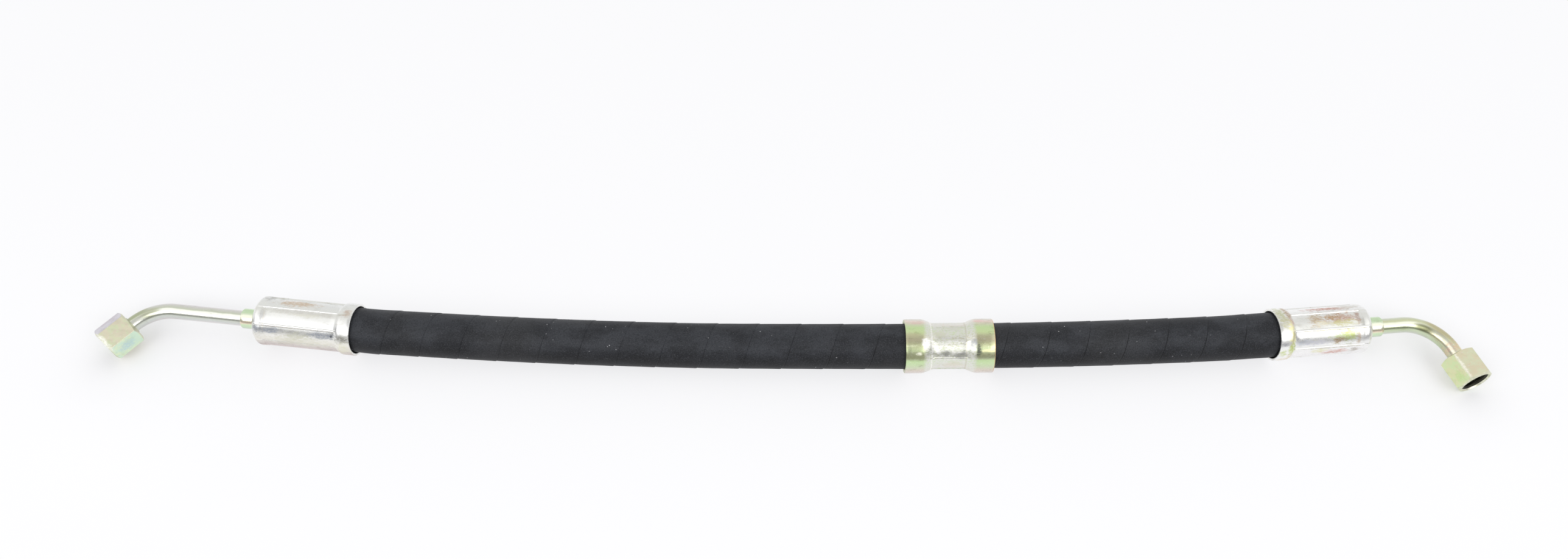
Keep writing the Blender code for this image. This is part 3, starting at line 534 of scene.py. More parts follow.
# distance from the mouth in mm, angle, half depth, half width and half length in mm, colour,
# how much of it shows, and how frayed it is. On the left ferrule the dark patches at angles
# from -18 to -22 degrees are painted dark reflection.
smears_and_painted_light = {
    "left": [
        (31.0, 60.0, 5.0, 2.4, 12.0, tan, 0.85, 2.2),
        (24.0, 31.0, 5.0, 1.5, 24.0, (0.70, 0.68, 0.63), 0.70, 2.0),
        (24.0, 25.0, 5.0, 1.2, 9.0, (0.84, 0.83, 0.72), 0.60, 2.4),
        (41.5, -19.0, 4.0, 1.7, 6.4, soot_and_dark_reflection, 0.95, 2.6),
        (14.5, -20.0, 4.0, 1.9, 9.0, soot_and_dark_reflection, 0.95, 2.6),
        (9.6, -20.0, 4.0, 1.2, 0.7, (0.10, 0.11, 0.13), 0.90, 1.0),
        (28.5, -28.0, 4.0, 2.8, 8.0, olive, 0.85, 2.4),
        (27.0, -45.0, 5.0, 3.2, 18.0, (0.74, 0.73, 0.60), 0.60, 2.8),
        (30.0, -76.0, 5.0, 1.8, 20.0, rose, 0.80, 1.6),
        (3.8, -22.0, 4.0, 2.6, 4.4, (0.38, 0.37, 0.32), 0.90, 2.4),
        (2.8, 41.0, 4.0, 2.6, 2.4, (0.60, 0.46, 0.36), 0.70, 2.2),
        (3.8, -52.0, 5.0, 5.0, 4.0, (0.84, 0.83, 0.66), 0.70, 2.6),
        (47.0, 76.0, 5.0, 3.0, 3.5, (0.48, 0.48, 0.46), 0.70, 2.4),
        (49.5, -18.0, 4.0, 2.2, 3.0, (0.44, 0.47, 0.52), 0.85, 2.4),
        (45.8, 5.0, 4.0, 7.0, 0.5, (0.80, 0.74, 0.62), 0.50, 1.2),
    ],
    "right": [
        (28.0, 69.0, 5.0, 2.0, 13.0, rust, 0.85, 2.2),
        (39.5, 74.0, 5.0, 2.8, 6.0, (0.66, 0.65, 0.58), 0.70, 2.2),
        (20.0, 33.0, 4.0, 3.6, 4.0, (0.58, 0.44, 0.28), 0.85, 2.6),
        (33.0, 32.0, 4.0, 3.2, 8.0, (0.58, 0.36, 0.26), 0.85, 2.8),
        (29.0, 38.0, 4.0, 1.8, 5.0, (0.52, 0.34, 0.18), 0.80, 2.6),
        (34.0, 20.0, 4.0, 1.8, 8.0, (0.70, 0.68, 0.36), 0.80, 2.4),
        (22.0, 22.0, 4.0, 1.4, 3.0, (0.94, 0.88, 0.66), 0.70, 2.4),
        (29.0, 4.2, 3.0, 0.5, 20.0, amber, 0.85, 1.0),
        (12.5, -22.0, 4.0, 2.0, 4.6, (0.74, 0.77, 0.82), 0.90, 2.8),
        (20.0, -24.0, 4.0, 1.4, 6.5, (0.72, 0.72, 0.78), 0.80, 2.8),
        (33.5, -13.0, 4.0, 3.3, 7.0, lime, 0.85, 2.8),
        (37.0, -9.0, 4.0, 2.6, 4.0, (0.64, 0.72, 0.28), 0.75, 2.6),
        (31.0, -22.0, 4.0, 1.6, 3.4, (0.46, 0.26, 0.14), 0.85, 2.2),
        (28.0, -41.5, 3.0, 0.45, 20.0, (0.50, 0.46, 0.30), 0.80, 1.0),
        (30.5, -60.0, 5.0, 2.4, 7.5, (0.66, 0.38, 0.32), 0.85, 2.0),
        (22.0, -52.0, 5.0, 1.8, 4.5, (0.80, 0.78, 0.48), 0.70, 2.4),
        (42.0, 33.0, 4.0, 3.8, 1.4, (0.52, 0.38, 0.32), 0.85, 2.0),
        (41.5, -18.0, 4.0, 3.6, 1.3, (0.58, 0.46, 0.34), 0.85, 2.0),
        (40.5, -56.0, 4.0, 2.2, 2.6, (0.46, 0.42, 0.36), 0.80, 2.4),
        (6.4, 62.0, 5.0, 7.5, 2.0, (0.50, 0.38, 0.26), 0.90, 1.6),
        (2.4, 58.0, 5.0, 7.0, 2.6, (0.58, 0.60, 0.36), 0.85, 2.6),
        (4.0, 30.0, 5.0, 3.6, 2.8, (0.64, 0.62, 0.40), 0.75, 2.4),
        (7.0, 30.0, 5.0, 3.0, 1.4, (0.62, 0.42, 0.34), 0.75, 1.6),
        (6.2, 2.0, 5.0, 7.0, 1.9, (0.92, 0.87, 0.50), 0.95, 1.2),
        (6.2, -34.0, 5.0, 4.6, 2.0, (0.56, 0.64, 0.20), 0.90, 1.6),
        (6.2, -66.0, 5.0, 5.0, 2.0, (0.74, 0.66, 0.44), 0.80, 1.6),
        (2.2, -20.0, 4.0, 1.2, 2.6, (0.44, 0.44, 0.46), 0.80, 2.2),
        (2.0, -44.0, 4.0, 2.6, 2.0, (0.62, 0.70, 0.30), 0.80, 2.4),
        (3.0, -75.0, 4.0, 3.0, 2.4, (0.80, 0.70, 0.52), 0.75, 2.0),
    ],
}
# how far the surface leans back from underneath, and its tint there, the plating's tint with
# painted light and shade in it
ferrule_bands = {
    "left": [
        (-0.95, (0.60, 0.53, 0.51)), (-0.82, (0.72, 0.68, 0.64)), (-0.62, (0.86, 0.84, 0.78)),
        (-0.3, (0.92, 0.92, 0.88)),
        (0.2, (0.92, 0.92, 0.91)), (0.55, (0.86, 0.86, 0.81)), (0.9, (0.83, 0.84, 0.82)),
    ],
    "right": [
        (-0.95, (0.92, 0.91, 0.91)), (-0.5, (0.93, 0.93, 0.91)), (0.0, (0.92, 0.92, 0.89)),
        (0.35, (0.84, 0.84, 0.80)), (0.65, (0.82, 0.82, 0.78)), (0.9, (0.95, 0.95, 0.94)),
    ],
}
for side, matrix in fittings.items():
    ferrule = skin(f"{side}_crimped_ferrule", ferrule_rings(side, matrix))
    marks = []
    for height, angle, depth, width, half, paint, amount, rough in smears_and_painted_light[side]:
        where = spot_at(matrix, 0.0125, 0.001 * height, angle)
        marks.append((where, (depth, width, half), paint, amount, rough))
    ferrule.data.materials.append(plated_metal(f"{side}_ferrule_plating", ferrule_bands[side], marks))
    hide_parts(f"{side}_ferrule")
    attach(ferrule, "hose_and_tubes")


# ------------------------ stems
# Barbed steel insert in each hose end. Only its socket shows, between the ferrule's
# tail and the tube that is brazed into it; its plating keeps a bright green cast.
def turned_piece(name, matrix, profile, sides):
    """Ring-shaped piece turned round the matrix's Z axis from (radius, height) pairs."""
    turns = [math.tau * n / sides for n in range(sides)]
    rings = []
    for radius, height in profile:
        ring = [Vector((radius * math.cos(a), radius * math.sin(a), height)) for a in turns]
        rings.append([matrix @ point for point in ring])
    return skin(name, rings)


socket_length = 0.0079
# radius, and height above the ferrule's tail
socket_profile = [
    (0.00405, 0.0083), (0.00440, 0.00805), (0.00480, 0.0079), (0.00500, 0.0078),
    (0.00515, 0.0075), (0.00515, 0.0060), (0.00515, 0.0020), (0.00515, 0.0006),
    (0.00510, 0.0004), (0.00460, 0.0004), (0.00460, -0.0032), (0.00595, -0.0034),
]
# the plating's green tint by how far the surface leans back, lightened to a painted highlight where the
# lamps reflect
socket_bands = [
    (-0.95, (0.62, 0.72, 0.56)), (-0.62, (0.66, 0.82, 0.56)), (-0.36, (0.94, 0.76, 0.60)),
    (-0.1, (0.92, 0.93, 0.72)), (0.4, (0.90, 0.94, 0.76)), (0.62, (0.66, 0.83, 0.55)),
    (0.95, (0.60, 0.76, 0.50)),
]
for side, matrix in fittings.items():
    tail = ferrule_length[side]
    profile = [(radius, tail + height) for radius, height in socket_profile]
    for barb in range(6):
        top = 0.0430 - barb * 0.00667
        profile += [(0.00595, top), (0.00535, top - 0.0008)]
    profile += [(0.00535, 0.0032), (0.0050, 0.0030), (0.0036, 0.0030)]
    profile += [(0.0036, tail + 0.0006), (0.00412, tail + 0.0006)]
    stem = turned_piece(f"{side}_stem_socket", matrix, profile, 48)
    under = spot_at(matrix, 0.005, tail + 0.0008, -10.0)
    marks = [(under, (2.0, 6.0, 0.8), (0.52, 0.50, 0.34), 0.70, 1.6)]
    finish = plated_metal(f"{side}_socket_plating", socket_bands, marks, low=0.18, high=0.30, warp=0.12)
    stem.data.materials.append(finish)
    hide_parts(f"{side}_hose_stem")
    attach(stem, "hose_and_tubes")


# ------------------------ bent tubes
# Seamless steel tube, 8 mm outside, cold bent and brazed into the stem. Its free end is
# flared to 37 degrees to seal on the adapter's cone; the plating is glossy olive.
tube_straight = {"left": 0.0374, "right": 0.0118}
bend_radius = {"left": 0.0240, "right": 0.0215}
bend_angle = {"left": 54.15, "right": 75.6}
end_straight = 0.0145
tube_radius, tube_bore, flare_radius, flare_angle = 0.0040, 0.0025, 0.0056, 37.0
# the plating's tint by how far the surface leans back from underneath, with a painted highlight where the
# lamps reflect and painted shade just below it
tube_bands = {
    "left": [
        (-0.95, (0.74, 0.70, 0.70)), (-0.7, (0.67, 0.69, 0.67)), (-0.35, (0.62, 0.65, 0.56)),
        (-0.1, (0.88, 0.89, 0.80)), (0.36, (0.92, 0.93, 0.84)), (0.50, (0.66, 0.70, 0.56)),
        (0.95, (0.74, 0.72, 0.71)),
    ],
    "right": [
        (-0.95, (0.66, 0.68, 0.62)), (-0.6, (0.62, 0.70, 0.50)), (-0.3, (0.50, 0.56, 0.36)),
        (-0.13, (0.58, 0.62, 0.42)), (0.05, (0.94, 0.94, 0.74)), (0.38, (0.92, 0.94, 0.76)),
        (0.6, (0.70, 0.73, 0.46)), (0.95, (0.68, 0.72, 0.60)),
    ],
}
# painted dark reflections on the bends, where they face the gap between the lamps: angle along
# the bend, angle round the tube, half sizes in mm, colour, amount and fray
bend_dark_reflections = {
    "left": [
        (29.0, 6.0, (3.0, 3.0, 6.4), (0.50, 0.52, 0.36), 0.80, -1.0),
        (46.0, 48.0, (4.0, 3.0, 10.0), (0.44, 0.48, 0.30), 0.80, -1.0),
    ],
    "right": [
        (29.0, -4.0, (3.0, 2.3, 6.0), (0.28, 0.29, 0.15), 0.92, -1.0),
        (50.0, 44.0, (4.0, 3.4, 13.0), (0.56, 0.50, 0.30), 0.80, -1.0),
        (56.0, -30.0, (3.0, 1.6, 7.0), (0.66, 0.60, 0.38), 0.60, 1.4),
    ],
}
tube_ends = {}
for side, matrix in fittings.items():
    start = ferrule_length[side] + socket_length - 0.0070
    bend = ferrule_length[side] + socket_length + tube_straight[side]
    full, radius = math.radians(bend_angle[side]), bend_radius[side]
    straight_spans, bend_spans = 12, 32
    line = []
    for n in range(straight_spans):
        line.append((Vector((0.0, 0.0, start + (bend - start) * n / straight_spans)), 0.0))
    for n in range(bend_spans + 1):
        angle = full * n / bend_spans
        bent = Vector((radius * (1.0 - math.cos(angle)), 0.0, bend + radius * math.sin(angle)))
        line.append((bent, angle))
    way_out = Vector((math.sin(full), 0.0, math.cos(full)))
    corner = line[-1][0]
    face = corner + way_out * end_straight
    cone = (flare_radius - tube_radius) / math.tan(math.radians(flare_angle))
    outside = [(here, angle, tube_radius) for here, angle in line]
    outside += [(face - way_out * cone, full, tube_radius), (face - way_out * 0.0004, full, 0.00545)]
    outside += [(face - way_out * 0.0001, full, flare_radius), (face, full, 0.0055)]
    inside = [(face, full, 0.0043), (face - way_out * 0.0021, full, tube_bore)]
    inside += [(here, angle, tube_bore) for here, angle in reversed(line)]
    rings = []
    sides = 56
    for middle, angle, size in outside + inside:
        across = Vector((math.cos(angle), 0.0, -math.sin(angle)))
        upward = Vector((0.0, 1.0, 0.0))
        ring = []
        for n in range(sides):
            turn = math.tau * n / sides
            offset = across * (size * math.cos(turn)) + upward * (size * math.sin(turn))
            ring.append(matrix @ (middle + offset))
        rings.append(ring)
    tube = skin(f"{side}_flared_tube", rings)
    tube_ends[side] = matrix @ axes_at(face, way_out, Vector((1.0, 0.0, 0.0)))
    marks = []
    for degrees, angle, size, paint, amount, fray in bend_dark_reflections[side]:
        turned = math.radians(degrees)
        along = Vector((math.sin(turned), 0.0, math.cos(turned)))
        middle = Vector((radius * (1.0 - along.z), 0.0, bend + radius * along.x))
        bent = matrix @ axes_at(middle, along, Vector((along.z, 0.0, -along.x)))
        marks.append((spot_at(bent, tube_radius, 0.0, angle), size, paint, amount, fray))
    # painted shade: the flare's end, deep inside the nut, is painted almost black
    marks.append((tube_ends[side], (7.5, 7.5, 3.0), (0.10, 0.10, 0.08), 0.9, 0.4))
    if side == "right":
        warm = tube_ends[side] @ Matrix.Translation((0.0, 0.0, -0.0135))
        marks.append((warm, (5.0, 5.0, 4.0), (0.90, 0.54, 0.40), 0.80, 1.6))
    finish = plated_metal(
        f"{side}_tube_plating", tube_bands[side], marks, low=0.18, high=0.28, spangle=200.0, dirt=0.3
    )
    tube.data.materials.append(finish)
    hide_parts(f"{side}_bent_tube")
    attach(tube, "hose_and_tubes")


# ------------------------ flare sleeves
# Loose support ring behind each flare. The nut's shoulder pushes its head forward, so
# that the flare is held to the cone all round; its tail shows behind the nut.
sleeve_bands = {
    "left": [(-0.8, (0.56, 0.58, 0.44)), (0.0, (0.60, 0.62, 0.44)), (0.8, (0.50, 0.54, 0.38))],
    "right": [(-0.8, (0.84, 0.62, 0.46)), (0.0, (0.90, 0.72, 0.56)), (0.8, (0.76, 0.58, 0.44))],
}
# how far a sleeve slides along its tube, and where in that range each one rests
nut_travel = 0.0044
slid_back = {"left": 1.0, "right": 0.0}
nut_axes = {}
for side, matrix in tube_ends.items():
    nut_axes[side] = matrix @ Matrix.Translation((0.0, 0.0, -slid_back[side] * nut_travel))
    profile = [
        (0.00600, -0.0010), (0.00600, -0.0058), (0.00580, -0.0060), (0.00485, -0.0066),
        (0.00480, -0.0068), (0.00480, -0.0097), (0.00470, -0.0099), (0.00455, -0.0100),
        (0.00420, -0.0100), (0.00412, -0.0099), (0.00412, -0.00205), (0.00516, -0.0008),
        (0.00580, -0.0008),
    ]
    sleeve = turned_piece(f"{side}_support_sleeve", nut_axes[side], profile, 56)
    bands = sleeve_bands[side]
    sleeve.data.materials.append(plated_metal(f"{side}_sleeve_plating", bands, []))
    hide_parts(f"{side}_flare_sleeve")
    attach(sleeve, f"{side}_sleeve")


# ------------------------ union nuts
# Hexagon nut, 17 mm across flats, M14 x 1.5, that turns loosely on its sleeve. Both ends
# are chamfered to a crown, so each face has curved ends; the plating is worn and yellow.
hex_turn = {"left": -23.0, "right": 9.0}
nut_front, nut_back, mouth_depth = 0.0064, -0.0096, 0.0017
half_flats, edge_round, face_ring, crown_angle = 0.0085, 0.00035, 0.0079, 30.0
thread_turn, thread_core, thread_height, thread_length = 0.0015, 0.00619, 0.00078, 0.0105
nut_bands = [(-0.9, (0.62, 0.66, 0.46)), (0.0, (0.74, 0.72, 0.56)), (0.9, (0.66, 0.66, 0.50))]
gold, green = ((0.74, 0.78, 0.54), (0.78, 0.73, 0.56)), ((0.76, 0.86, 0.62), (0.68, 0.84, 0.68))
lilac = ((0.70, 0.68, 0.72), (0.64, 0.60, 0.64))
pale_gold, bright_green = ((0.80, 0.81, 0.58), (0.82, 0.75, 0.54)), ((0.82, 0.84, 0.52), (0.76, 0.88, 0.52))
face_tints = {
    "left": [green, gold, lilac, gold, green, gold],
    "right": [gold, green, gold, green, pale_gold, bright_green],
}
# angle from the first corner; half sizes, distance from the axis and height in mm; colour, amount
# the near-white marks are painted highlights: along the left nut's front chamfer by the mouth, down one
# corner of the right nut, and round the right nut's mouth rim
nut_marks = {
    "left": [
        (30.0, (3.4, 3.4, 4.6), 8.5, -1.4, (0.56, 0.72, 0.74), 0.80),
        (90.0, (7.0, 7.0, 1.8), 8.5, 5.9, (1.0, 1.0, 0.90), 1.0),
    ],
    "right": [
        (300.0, (1.1, 1.1, 10.0), 9.8, -1.6, (1.0, 0.98, 0.84), 1.0),
        (330.0, (2.6, 2.6, 3.0), 8.5, 2.0, (0.62, 0.82, 0.36), 0.60),
        (0.0, (9.0, 9.0, 0.9), 0.0, 6.0, (1.0, 0.98, 0.86), 0.85),
    ],
}
# painted shade: the faces deep in the nut's bore are painted almost black for the shade inside it
bore_painted_shade, shader, spot = new_finish("painted_shade_bore_steel")
oil = spot.noise(900.0)
put(shader, "Base Color", oil.tint((0.025, 0.025, 0.020, 1.0), (0.07, 0.07, 0.05, 1.0)))
put(shader, "Metallic", 1.0)
put(shader, "Roughness", 0.42)
for side, matrix in nut_axes.items():
    outline = []
    far = (half_flats - edge_round) / math.cos(math.radians(30.0))
    for corner in range(6):
        middle = math.radians(hex_turn[side] + 60.0 * corner)
        arc = []
        for degrees in (-30.0, -20.0, -10.0, 0.0, 10.0, 20.0, 30.0):
            turn = middle + math.radians(degrees)
            arc.append(Vector((
                far * math.cos(middle) + edge_round * math.cos(turn),
                far * math.sin(middle) + edge_round * math.sin(turn),
            )))
        outline.append(arc)
    loop = []
    for corner in range(6):
        loop += outline[corner]
        start, end = outline[corner][-1], outline[(corner + 1) % 6][0]
        for share in (0.02, 0.08, 0.16, 0.26, 0.38, 0.50, 0.62, 0.74, 0.84, 0.92, 0.98):
            loop.append(start.lerp(end, share))
    slope = math.tan(math.radians(crown_angle))
    # a crown row: the face, the way back from it, and how far out to the hexagon; a hex row:
    # how far along the flats; the others: a radius and a height
    rows = [
        (0.00492, nut_back), (0.0060, nut_back), (face_ring - 0.0001, nut_back),
        (face_ring, nut_back + 0.00004), ("crown", nut_back, 1.0, 0.5), ("crown", nut_back, 1.0, 1.0),
        ("hex", 0.12), ("hex", 0.5), ("hex", 0.88),
        ("crown", nut_front, -1.0, 1.0), ("crown", nut_front, -1.0, 0.5), (face_ring, nut_front - 0.00004),
        (face_ring - 0.0001, nut_front), (0.00755, nut_front), (0.00748, nut_front - 0.00004),
        (0.00700, nut_front - 0.0008), (0.00622, nut_front - mouth_depth),
    ]
    rings = []
    for row in rows:
        ring = []
        for point in loop:
            size = point.length
            deep = (size - face_ring) * slope
            if row[0] == "crown":
                here = face_ring + (size - face_ring) * row[3]
                height = row[1] + row[2] * deep * row[3]
            elif row[0] == "hex":
                here = size
                height = (nut_back + deep) * (1.0 - row[1]) + (nut_front - deep) * row[1]
            else:
                here, height = row
            ring.append(matrix @ Vector((point.x / size * here, point.y / size * here, height)))
        rings.append(ring)
    thread_rings = 60
    for n in range(thread_rings + 1):
        drop = thread_length * n / thread_rings
        fade = min(1.0, drop / 0.0008, max(0.0, (thread_length - 0.0010 - drop) / 0.0006))
        run_out = 0.0007 if drop > thread_length - 0.0008 else 0.0
        ring = []
        for point in loop:
            turned = math.atan2(point.y, point.x) / math.tau
            wave = ((drop / thread_turn - turned) % 1.0) * 2.0 - 1.0
            here = thread_core + thread_height * fade * (1.0 - abs(wave)) + run_out
            unit = point.normalized()
            ring.append(matrix @ Vector((unit.x * here, unit.y * here, nut_front - mouth_depth - drop)))
        rings.append(ring)
    for radius, height in ((0.0060, -0.0061), (0.00492, -0.0067)):
        ring = []
        for point in loop:
            unit = point.normalized()
            ring.append(matrix @ Vector((unit.x * radius, unit.y * radius, height)))
        rings.append(ring)
    nut = skin(f"{side}_hexagon_nut", rings, sharp=24.0)
    flats = []
    for number, paints in enumerate(face_tints[side]):
        turn = math.radians(hex_turn[side] + 30.0 + 60.0 * number)
        flats.append((matrix.to_3x3() @ Vector((math.cos(turn), math.sin(turn), 0.0)), *paints))
    marks = []
    for degrees, size, away, height, paint, amount in nut_marks[side]:
        turn = math.radians(hex_turn[side] + degrees)
        place = Vector((math.cos(turn) * away, math.sin(turn) * away, height)) * 0.001
        marks.append((matrix @ Matrix.Translation(place), size, paint, amount, 1.4))
    finish = plated_metal(
        f"{side}_nut_plating", nut_bands, marks,
        low=0.34, high=0.50, spangle=260.0, warp=0.3, dirt=0.16, flats=flats,
    )
    nut.data.materials.append(finish)
    nut.data.materials.append(bore_painted_shade)
    # the faces deep in the bore take the painted shade
    inward = matrix.inverted()
    for polygon in nut.data.polygons:
        local = inward @ polygon.center
        deep = nut_back + 0.0001 < local.z < nut_front - 0.0012
        polygon.material_index = 1 if deep and math.hypot(local.x, local.y) < 0.0073 else 0
    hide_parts(f"{side}_union_nut")
    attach(nut, f"{side}_nut")


# ------------------------ collar and restrictor
# Short steel sleeve crimped over the hose beyond its middle, with a narrow pressed waist
# between two bells. It holds a turned plug with a throat in the hose's bore.
middle = collar_start + 0.5 * collar_length
along = hose_point(middle + 0.25 * collar_length) - hose_point(middle - 0.25 * collar_length)
collar_axis = axes_at(hose_point(middle), along, Vector((0.0, -1.0, 0.0)))
half, bell, cone = 0.5 * collar_length, 0.0094, 0.0050
bell_radius, waist_radius, waist_press, waist_turn = 0.0138, 0.0120, 0.00045, -22.0
outer = [(0.01205, half - 0.0005, 0.0), (0.0122, half - 0.0001, 0.0), (0.0125, half, 0.0)]
outer += [(0.0134, half, 0.0), (0.01365, half - 0.0001, 0.0), (bell_radius, half - 0.0005, 0.0)]
outer += [(bell_radius, half - 0.0030, 0.0), (bell_radius, half - 0.0060, 0.0)]
flank_spans = 12
for n in range(flank_spans + 1):
    share = n / flank_spans
    eased = share * share * (3.0 - 2.0 * share)
    radius = bell_radius + (waist_radius - bell_radius) * eased
    height = half - bell + 0.0012 - (cone + 0.0020) * share
    outer.append((radius, height, max(0.0, share * 2.2 - 1.2)))
waist_edge = outer[-1][1]
for n in range(1, 5):
    outer.append((waist_radius, waist_edge * (1.0 - n / 4.0), 1.0))
outer += [(radius, -height, press) for radius, height, press in reversed(outer[:-1])]
inner = [(0.01200, -half + 0.0008, 0.0), (0.01200, -0.0142, 0.0), (0.01030, -0.0081, 0.0)]
inner += [(radius, -height, press) for radius, height, press in reversed(inner)]
rings = []
die_face = [0.0, 1.5, 2.6, 4.0, 6.0, 10.0, 15.0, 22.5, 30.0, 35.0, 39.0, 41.0, 42.4, 43.5]
angles = [waist_turn + 45.0 * die + value for die in range(8) for value in die_face]
for radius, height, press in outer + inner:
    ring = []
    for angle in angles:
        gap = abs((angle - waist_turn + 22.5) % 45.0 - 22.5)
        ridge = 1.0 - min(1.0, max(0.0, (gap - 1.0) / 2.4))
        here = radius - waist_press * press * (1.0 - ridge * ridge * (3.0 - 2.0 * ridge))
        turn = math.radians(angle)
        ring.append(collar_axis @ Vector((here * math.cos(turn), here * math.sin(turn), height)))
    rings.append(ring)
collar = skin("crimped_collar", rings)
# the plating's tints by how far the surface leans back, darkened across the front as painted dark
# reflection
collar_bands = [
    (-0.98, (0.72, 0.66, 0.62)), (-0.86, (0.74, 0.66, 0.58)), (-0.74, (0.66, 0.72, 0.52)),
    (-0.62, (0.62, 0.76, 0.46)), (-0.50, (0.60, 0.76, 0.42)), (-0.42, (0.52, 0.56, 0.36)),
    (-0.30, (0.56, 0.58, 0.36)), (-0.10, (0.42, 0.48, 0.28)), (0.10, (0.54, 0.56, 0.34)),
    (0.28, (0.60, 0.56, 0.38)), (0.42, (0.62, 0.62, 0.40)), (0.56, (0.66, 0.78, 0.42)),
    (0.72, (0.62, 0.78, 0.42)), (0.84, (0.72, 0.72, 0.54)), (0.93, (0.82, 0.68, 0.60)),
    (0.99, (0.70, 0.68, 0.60)),
]
# rings of tint round the whole collar, with a painted highlight in the white one beside the
# waist's left end and painted shade in the grey one beside its right end: distance from its
# middle, half length, colour, amount, fray
tint_and_painted_light_rings = [
    (0.0, 15.6, (0.80, 0.80, 0.75), 0.95, 0.0), (22.4, 0.4, (0.72, 0.46, 0.24), 0.80, 0.4),
    (-9.3, 0.45, (0.98, 0.97, 0.92), 0.80, 0.9), (8.1, 0.45, (0.66, 0.64, 0.54), 0.80, 0.9),
]
# distance from its axis and from its middle in mm, angle, half sizes in mm, colour, amount, fray;
# the white spots are painted highlights and glints, the dark ones near the front painted dark
# reflection
spots = [
    (12.0, 0.0, 15.0, (3.0, 0.35, 9.0), (0.98, 0.97, 0.92), 0.90, 1.4),
    (12.0, -1.0, -32.0, (3.0, 0.35, 9.0), (0.98, 0.97, 0.92), 0.90, 1.4),
    (13.0, -12.3, 10.0, (4.0, 3.0, 2.8), (0.99, 0.99, 0.96), 0.95, 0.8),
    (13.5, -16.0, -14.0, (4.0, 1.1, 1.8), (1.0, 1.0, 0.80), 1.0, 1.0),
    (13.0, 11.8, 8.0, (4.0, 3.0, 2.0), (0.44, 0.45, 0.46), 0.90, 0.8),
    (12.0, -6.0, -12.0, (4.0, 1.4, 1.2), (0.99, 0.98, 0.94), 0.90, 1.4),
    (12.0, -5.0, 34.0, (4.0, 2.0, 4.0), (0.72, 0.71, 0.58), 0.70, 2.4),
    (12.0, 3.0, 52.0, (4.0, 2.4, 4.0), (0.74, 0.74, 0.66), 0.70, 2.4),
    (12.0, 2.0, -50.0, (4.0, 2.4, 5.0), (0.76, 0.72, 0.60), 0.70, 2.4),
    (13.5, 15.0, 70.0, (4.0, 1.8, 3.0), (0.84, 0.60, 0.56), 0.80, 1.8),
    (13.5, -16.5, 62.0, (4.0, 1.4, 4.0), (0.82, 0.62, 0.56), 0.70, 1.8),
    (13.5, 19.0, -8.0, (4.0, 0.9, 4.0), (0.92, 0.86, 0.50), 0.85, 1.4),
    (13.0, 14.0, -7.0, (4.0, 3.4, 1.5), (0.12, 0.13, 0.11), 0.95, 1.4),
    (12.0, -2.0, -16.0, (4.0, 1.8, 2.4), (0.36, 0.36, 0.34), 0.90, 2.6),
    (12.0, 6.0, -22.0, (4.0, 2.0, 3.5), (0.38, 0.38, 0.35), 0.80, 2.6),
    (12.0, 3.0, -12.0, (4.0, 1.2, 2.6), (0.95, 0.94, 0.88), 0.85, 2.0),
    (13.5, -19.0, -21.0, (4.0, 1.3, 6.0), (0.40, 0.43, 0.24), 0.85, 1.8),
    (13.5, -19.5, 27.0, (4.0, 1.6, 4.0), (0.62, 0.60, 0.38), 0.70, 2.2),
    (13.5, -20.0, 4.0, (4.0, 0.6, 4.0), (0.70, 0.74, 0.50), 0.60, 1.4),
]
marks = []
for height, half_length, paint, amount, fray in tint_and_painted_light_rings:
    where = collar_axis @ Matrix.Translation((0.0, 0.0, 0.001 * height))
    marks.append((where, (200.0, 200.0, half_length), paint, amount, fray))
for radius, height, angle, size, paint, amount, fray in spots:
    where = spot_at(collar_axis, 0.001 * radius, 0.001 * height, angle)
    marks.append((where, size, paint, amount, fray))
finish = plated_metal("collar_plating", collar_bands, marks, low=0.22, high=0.38, warp=0.06, dirt=0.7)
collar.data.materials.append(finish)
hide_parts("mid_collar")
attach(collar, "hose_and_tubes")
plug = bpy.data.objects["mid_restrictor"]
plug.data.materials.clear()
bare_steel = [(0.0, (0.62, 0.62, 0.61)), (1.0, (0.66, 0.66, 0.65))]
plug.data.materials.append(plated_metal("bare_turned_steel", bare_steel, []))

cord_length = free_length + 2.0 * hidden_length
path_spans = int(cord_length / 0.006)
path = [hose_point(-hidden_length + cord_length * n / path_spans) for n in range(path_spans + 1)]


# ------------------------ floor, light and view
# White paper under the parts, two broad lamps overhead towards the front, and a pale room
# that is darker straight above and low down at the front. Seen by the camera or in the
# metal, part of the paper is its own white, less of it in the shadows by the elbows.
floor_mesh = bpy.data.meshes.new("paper")
paper = bmesh.new()
bmesh.ops.create_grid(paper, x_segments=8, y_segments=8, size=12.0)
paper.to_mesh(floor_mesh)
paper.free()
floor = bpy.data.objects.new("paper_floor", floor_mesh)
floor.location = (0.0, 0.0, -0.0001)
bpy.context.scene.collection.objects.link(floor)
matt, shader, spot = new_finish("white_paper")
put(shader, "Base Color", spot.noise(3.0).tint((0.93, 0.93, 0.945, 1.0), (0.95, 0.95, 0.965, 1.0)))
put(shader, "Roughness", 0.9)
put(shader, "Specular IOR Level", 0.1)
glow = spot.node("Emission", {}, {"Color": (0.985, 0.985, 1.0, 1.0), "Strength": 1.0})
rays = spot.tree.nodes.new("ShaderNodeLightPath").outputs
by_camera, by_gloss, by_glass = (
    Shade(spot.tree, rays[kind]) for kind in ("Is Camera Ray", "Is Glossy Ray", "Is Transmission Ray")
)
left_elbow, right_elbow, full_share = (-0.335, -0.02, 0.0), (0.335, -0.02, 0.0), 0.72
left_share = spot.measure("DISTANCE", left_elbow).between(0.02, 0.09, 0.18, full_share)
right_share = spot.measure("DISTANCE", right_elbow).between(0.02, 0.09, 0.32, full_share)
seen = (by_camera + by_gloss + by_glass) * left_share.math("MINIMUM", right_share)
surface = Shade(spot.tree, shader.outputs["BSDF"])
mixed = spot.node("MixShader", {}, {0: seen, 1: surface, 2: glow})
spot.tree.links.new(mixed.socket, spot.tree.nodes["Material Output"].inputs["Surface"])
floor.data.materials.append(matt)

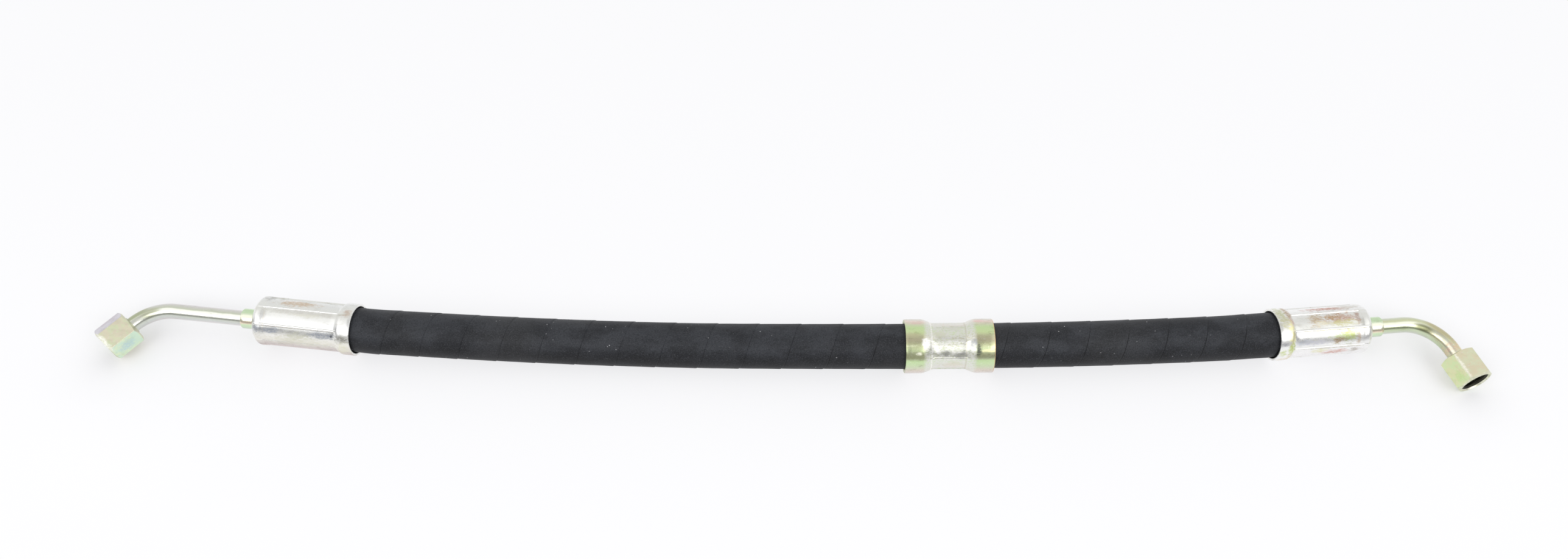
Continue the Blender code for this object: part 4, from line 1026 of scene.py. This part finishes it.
lamp_width, lamp_depth, lamp_gap, lamp_power = 1.10, 1.15, 0.70, 9.6
lamp_forward, lamp_height = 1.155, 1.0
for name, way in (("left_lamp", -1.0), ("right_lamp", 1.0)):
    lamp_data = bpy.data.lights.new(name, "AREA")
    lamp_data.shape = "RECTANGLE"
    lamp_data.size = lamp_width
    lamp_data.size_y = lamp_depth
    lamp_data.energy = lamp_power
    lamp = bpy.data.objects.new(name, lamp_data)
    lamp.location = (way * 0.5 * (lamp_gap + lamp_width), -lamp_forward, lamp_height)
    bpy.context.scene.collection.objects.link(lamp)

world = bpy.data.worlds.new("room")
bpy.context.scene.world = world
world.use_nodes = True
tree = world.node_tree
sky = Shade(tree, tree.nodes.new("ShaderNodeTexCoord").outputs["Generated"])
parts = sky.node("SeparateXYZ", {}, {"Vector": sky}).socket.node.outputs
across, depth, height = (Shade(tree, parts[axis]) for axis in "XYZ")
slope = depth / height
spread = (across / height).math("ABSOLUTE")
overhead = slope.between(-0.75, -0.60) * slope.between(0.28, 0.18)
low_front = height.between(0.56, 0.48) * depth.between(0.10, -0.10)
ceiling = spread.between(0.28, 0.42).tint((0.60, 0.60, 0.60, 1.0), (1.15, 1.15, 1.15, 1.0))
room = overhead.tint((0.86, 0.86, 0.86, 1.0), ceiling)
room = low_front.tint(room, (0.36, 0.36, 0.37, 1.0))
tree.links.new(room.socket, tree.nodes["Background"].inputs["Color"])

camera_data = bpy.data.cameras.new("camera")
camera_data.sensor_width = 36.0
camera_data.lens = 30.256
camera_data.clip_start = 0.01
camera = bpy.data.objects.new("camera", camera_data)
turn, tilt, distance = math.radians(0.4513), math.radians(52.0), 0.702
view_centre = Vector((-0.00162, 0.04083, 0.0130))
level_part = math.cos(tilt)
forward = Vector((-math.sin(turn) * level_part, math.cos(turn) * level_part, -math.sin(tilt)))
camera.location = view_centre - forward * distance
camera.rotation_euler = (math.radians(90.0) - tilt, 0.0, turn)
bpy.context.scene.collection.objects.link(camera)
bpy.context.scene.camera = camera
bpy.context.scene.view_settings.view_transform = "Standard"
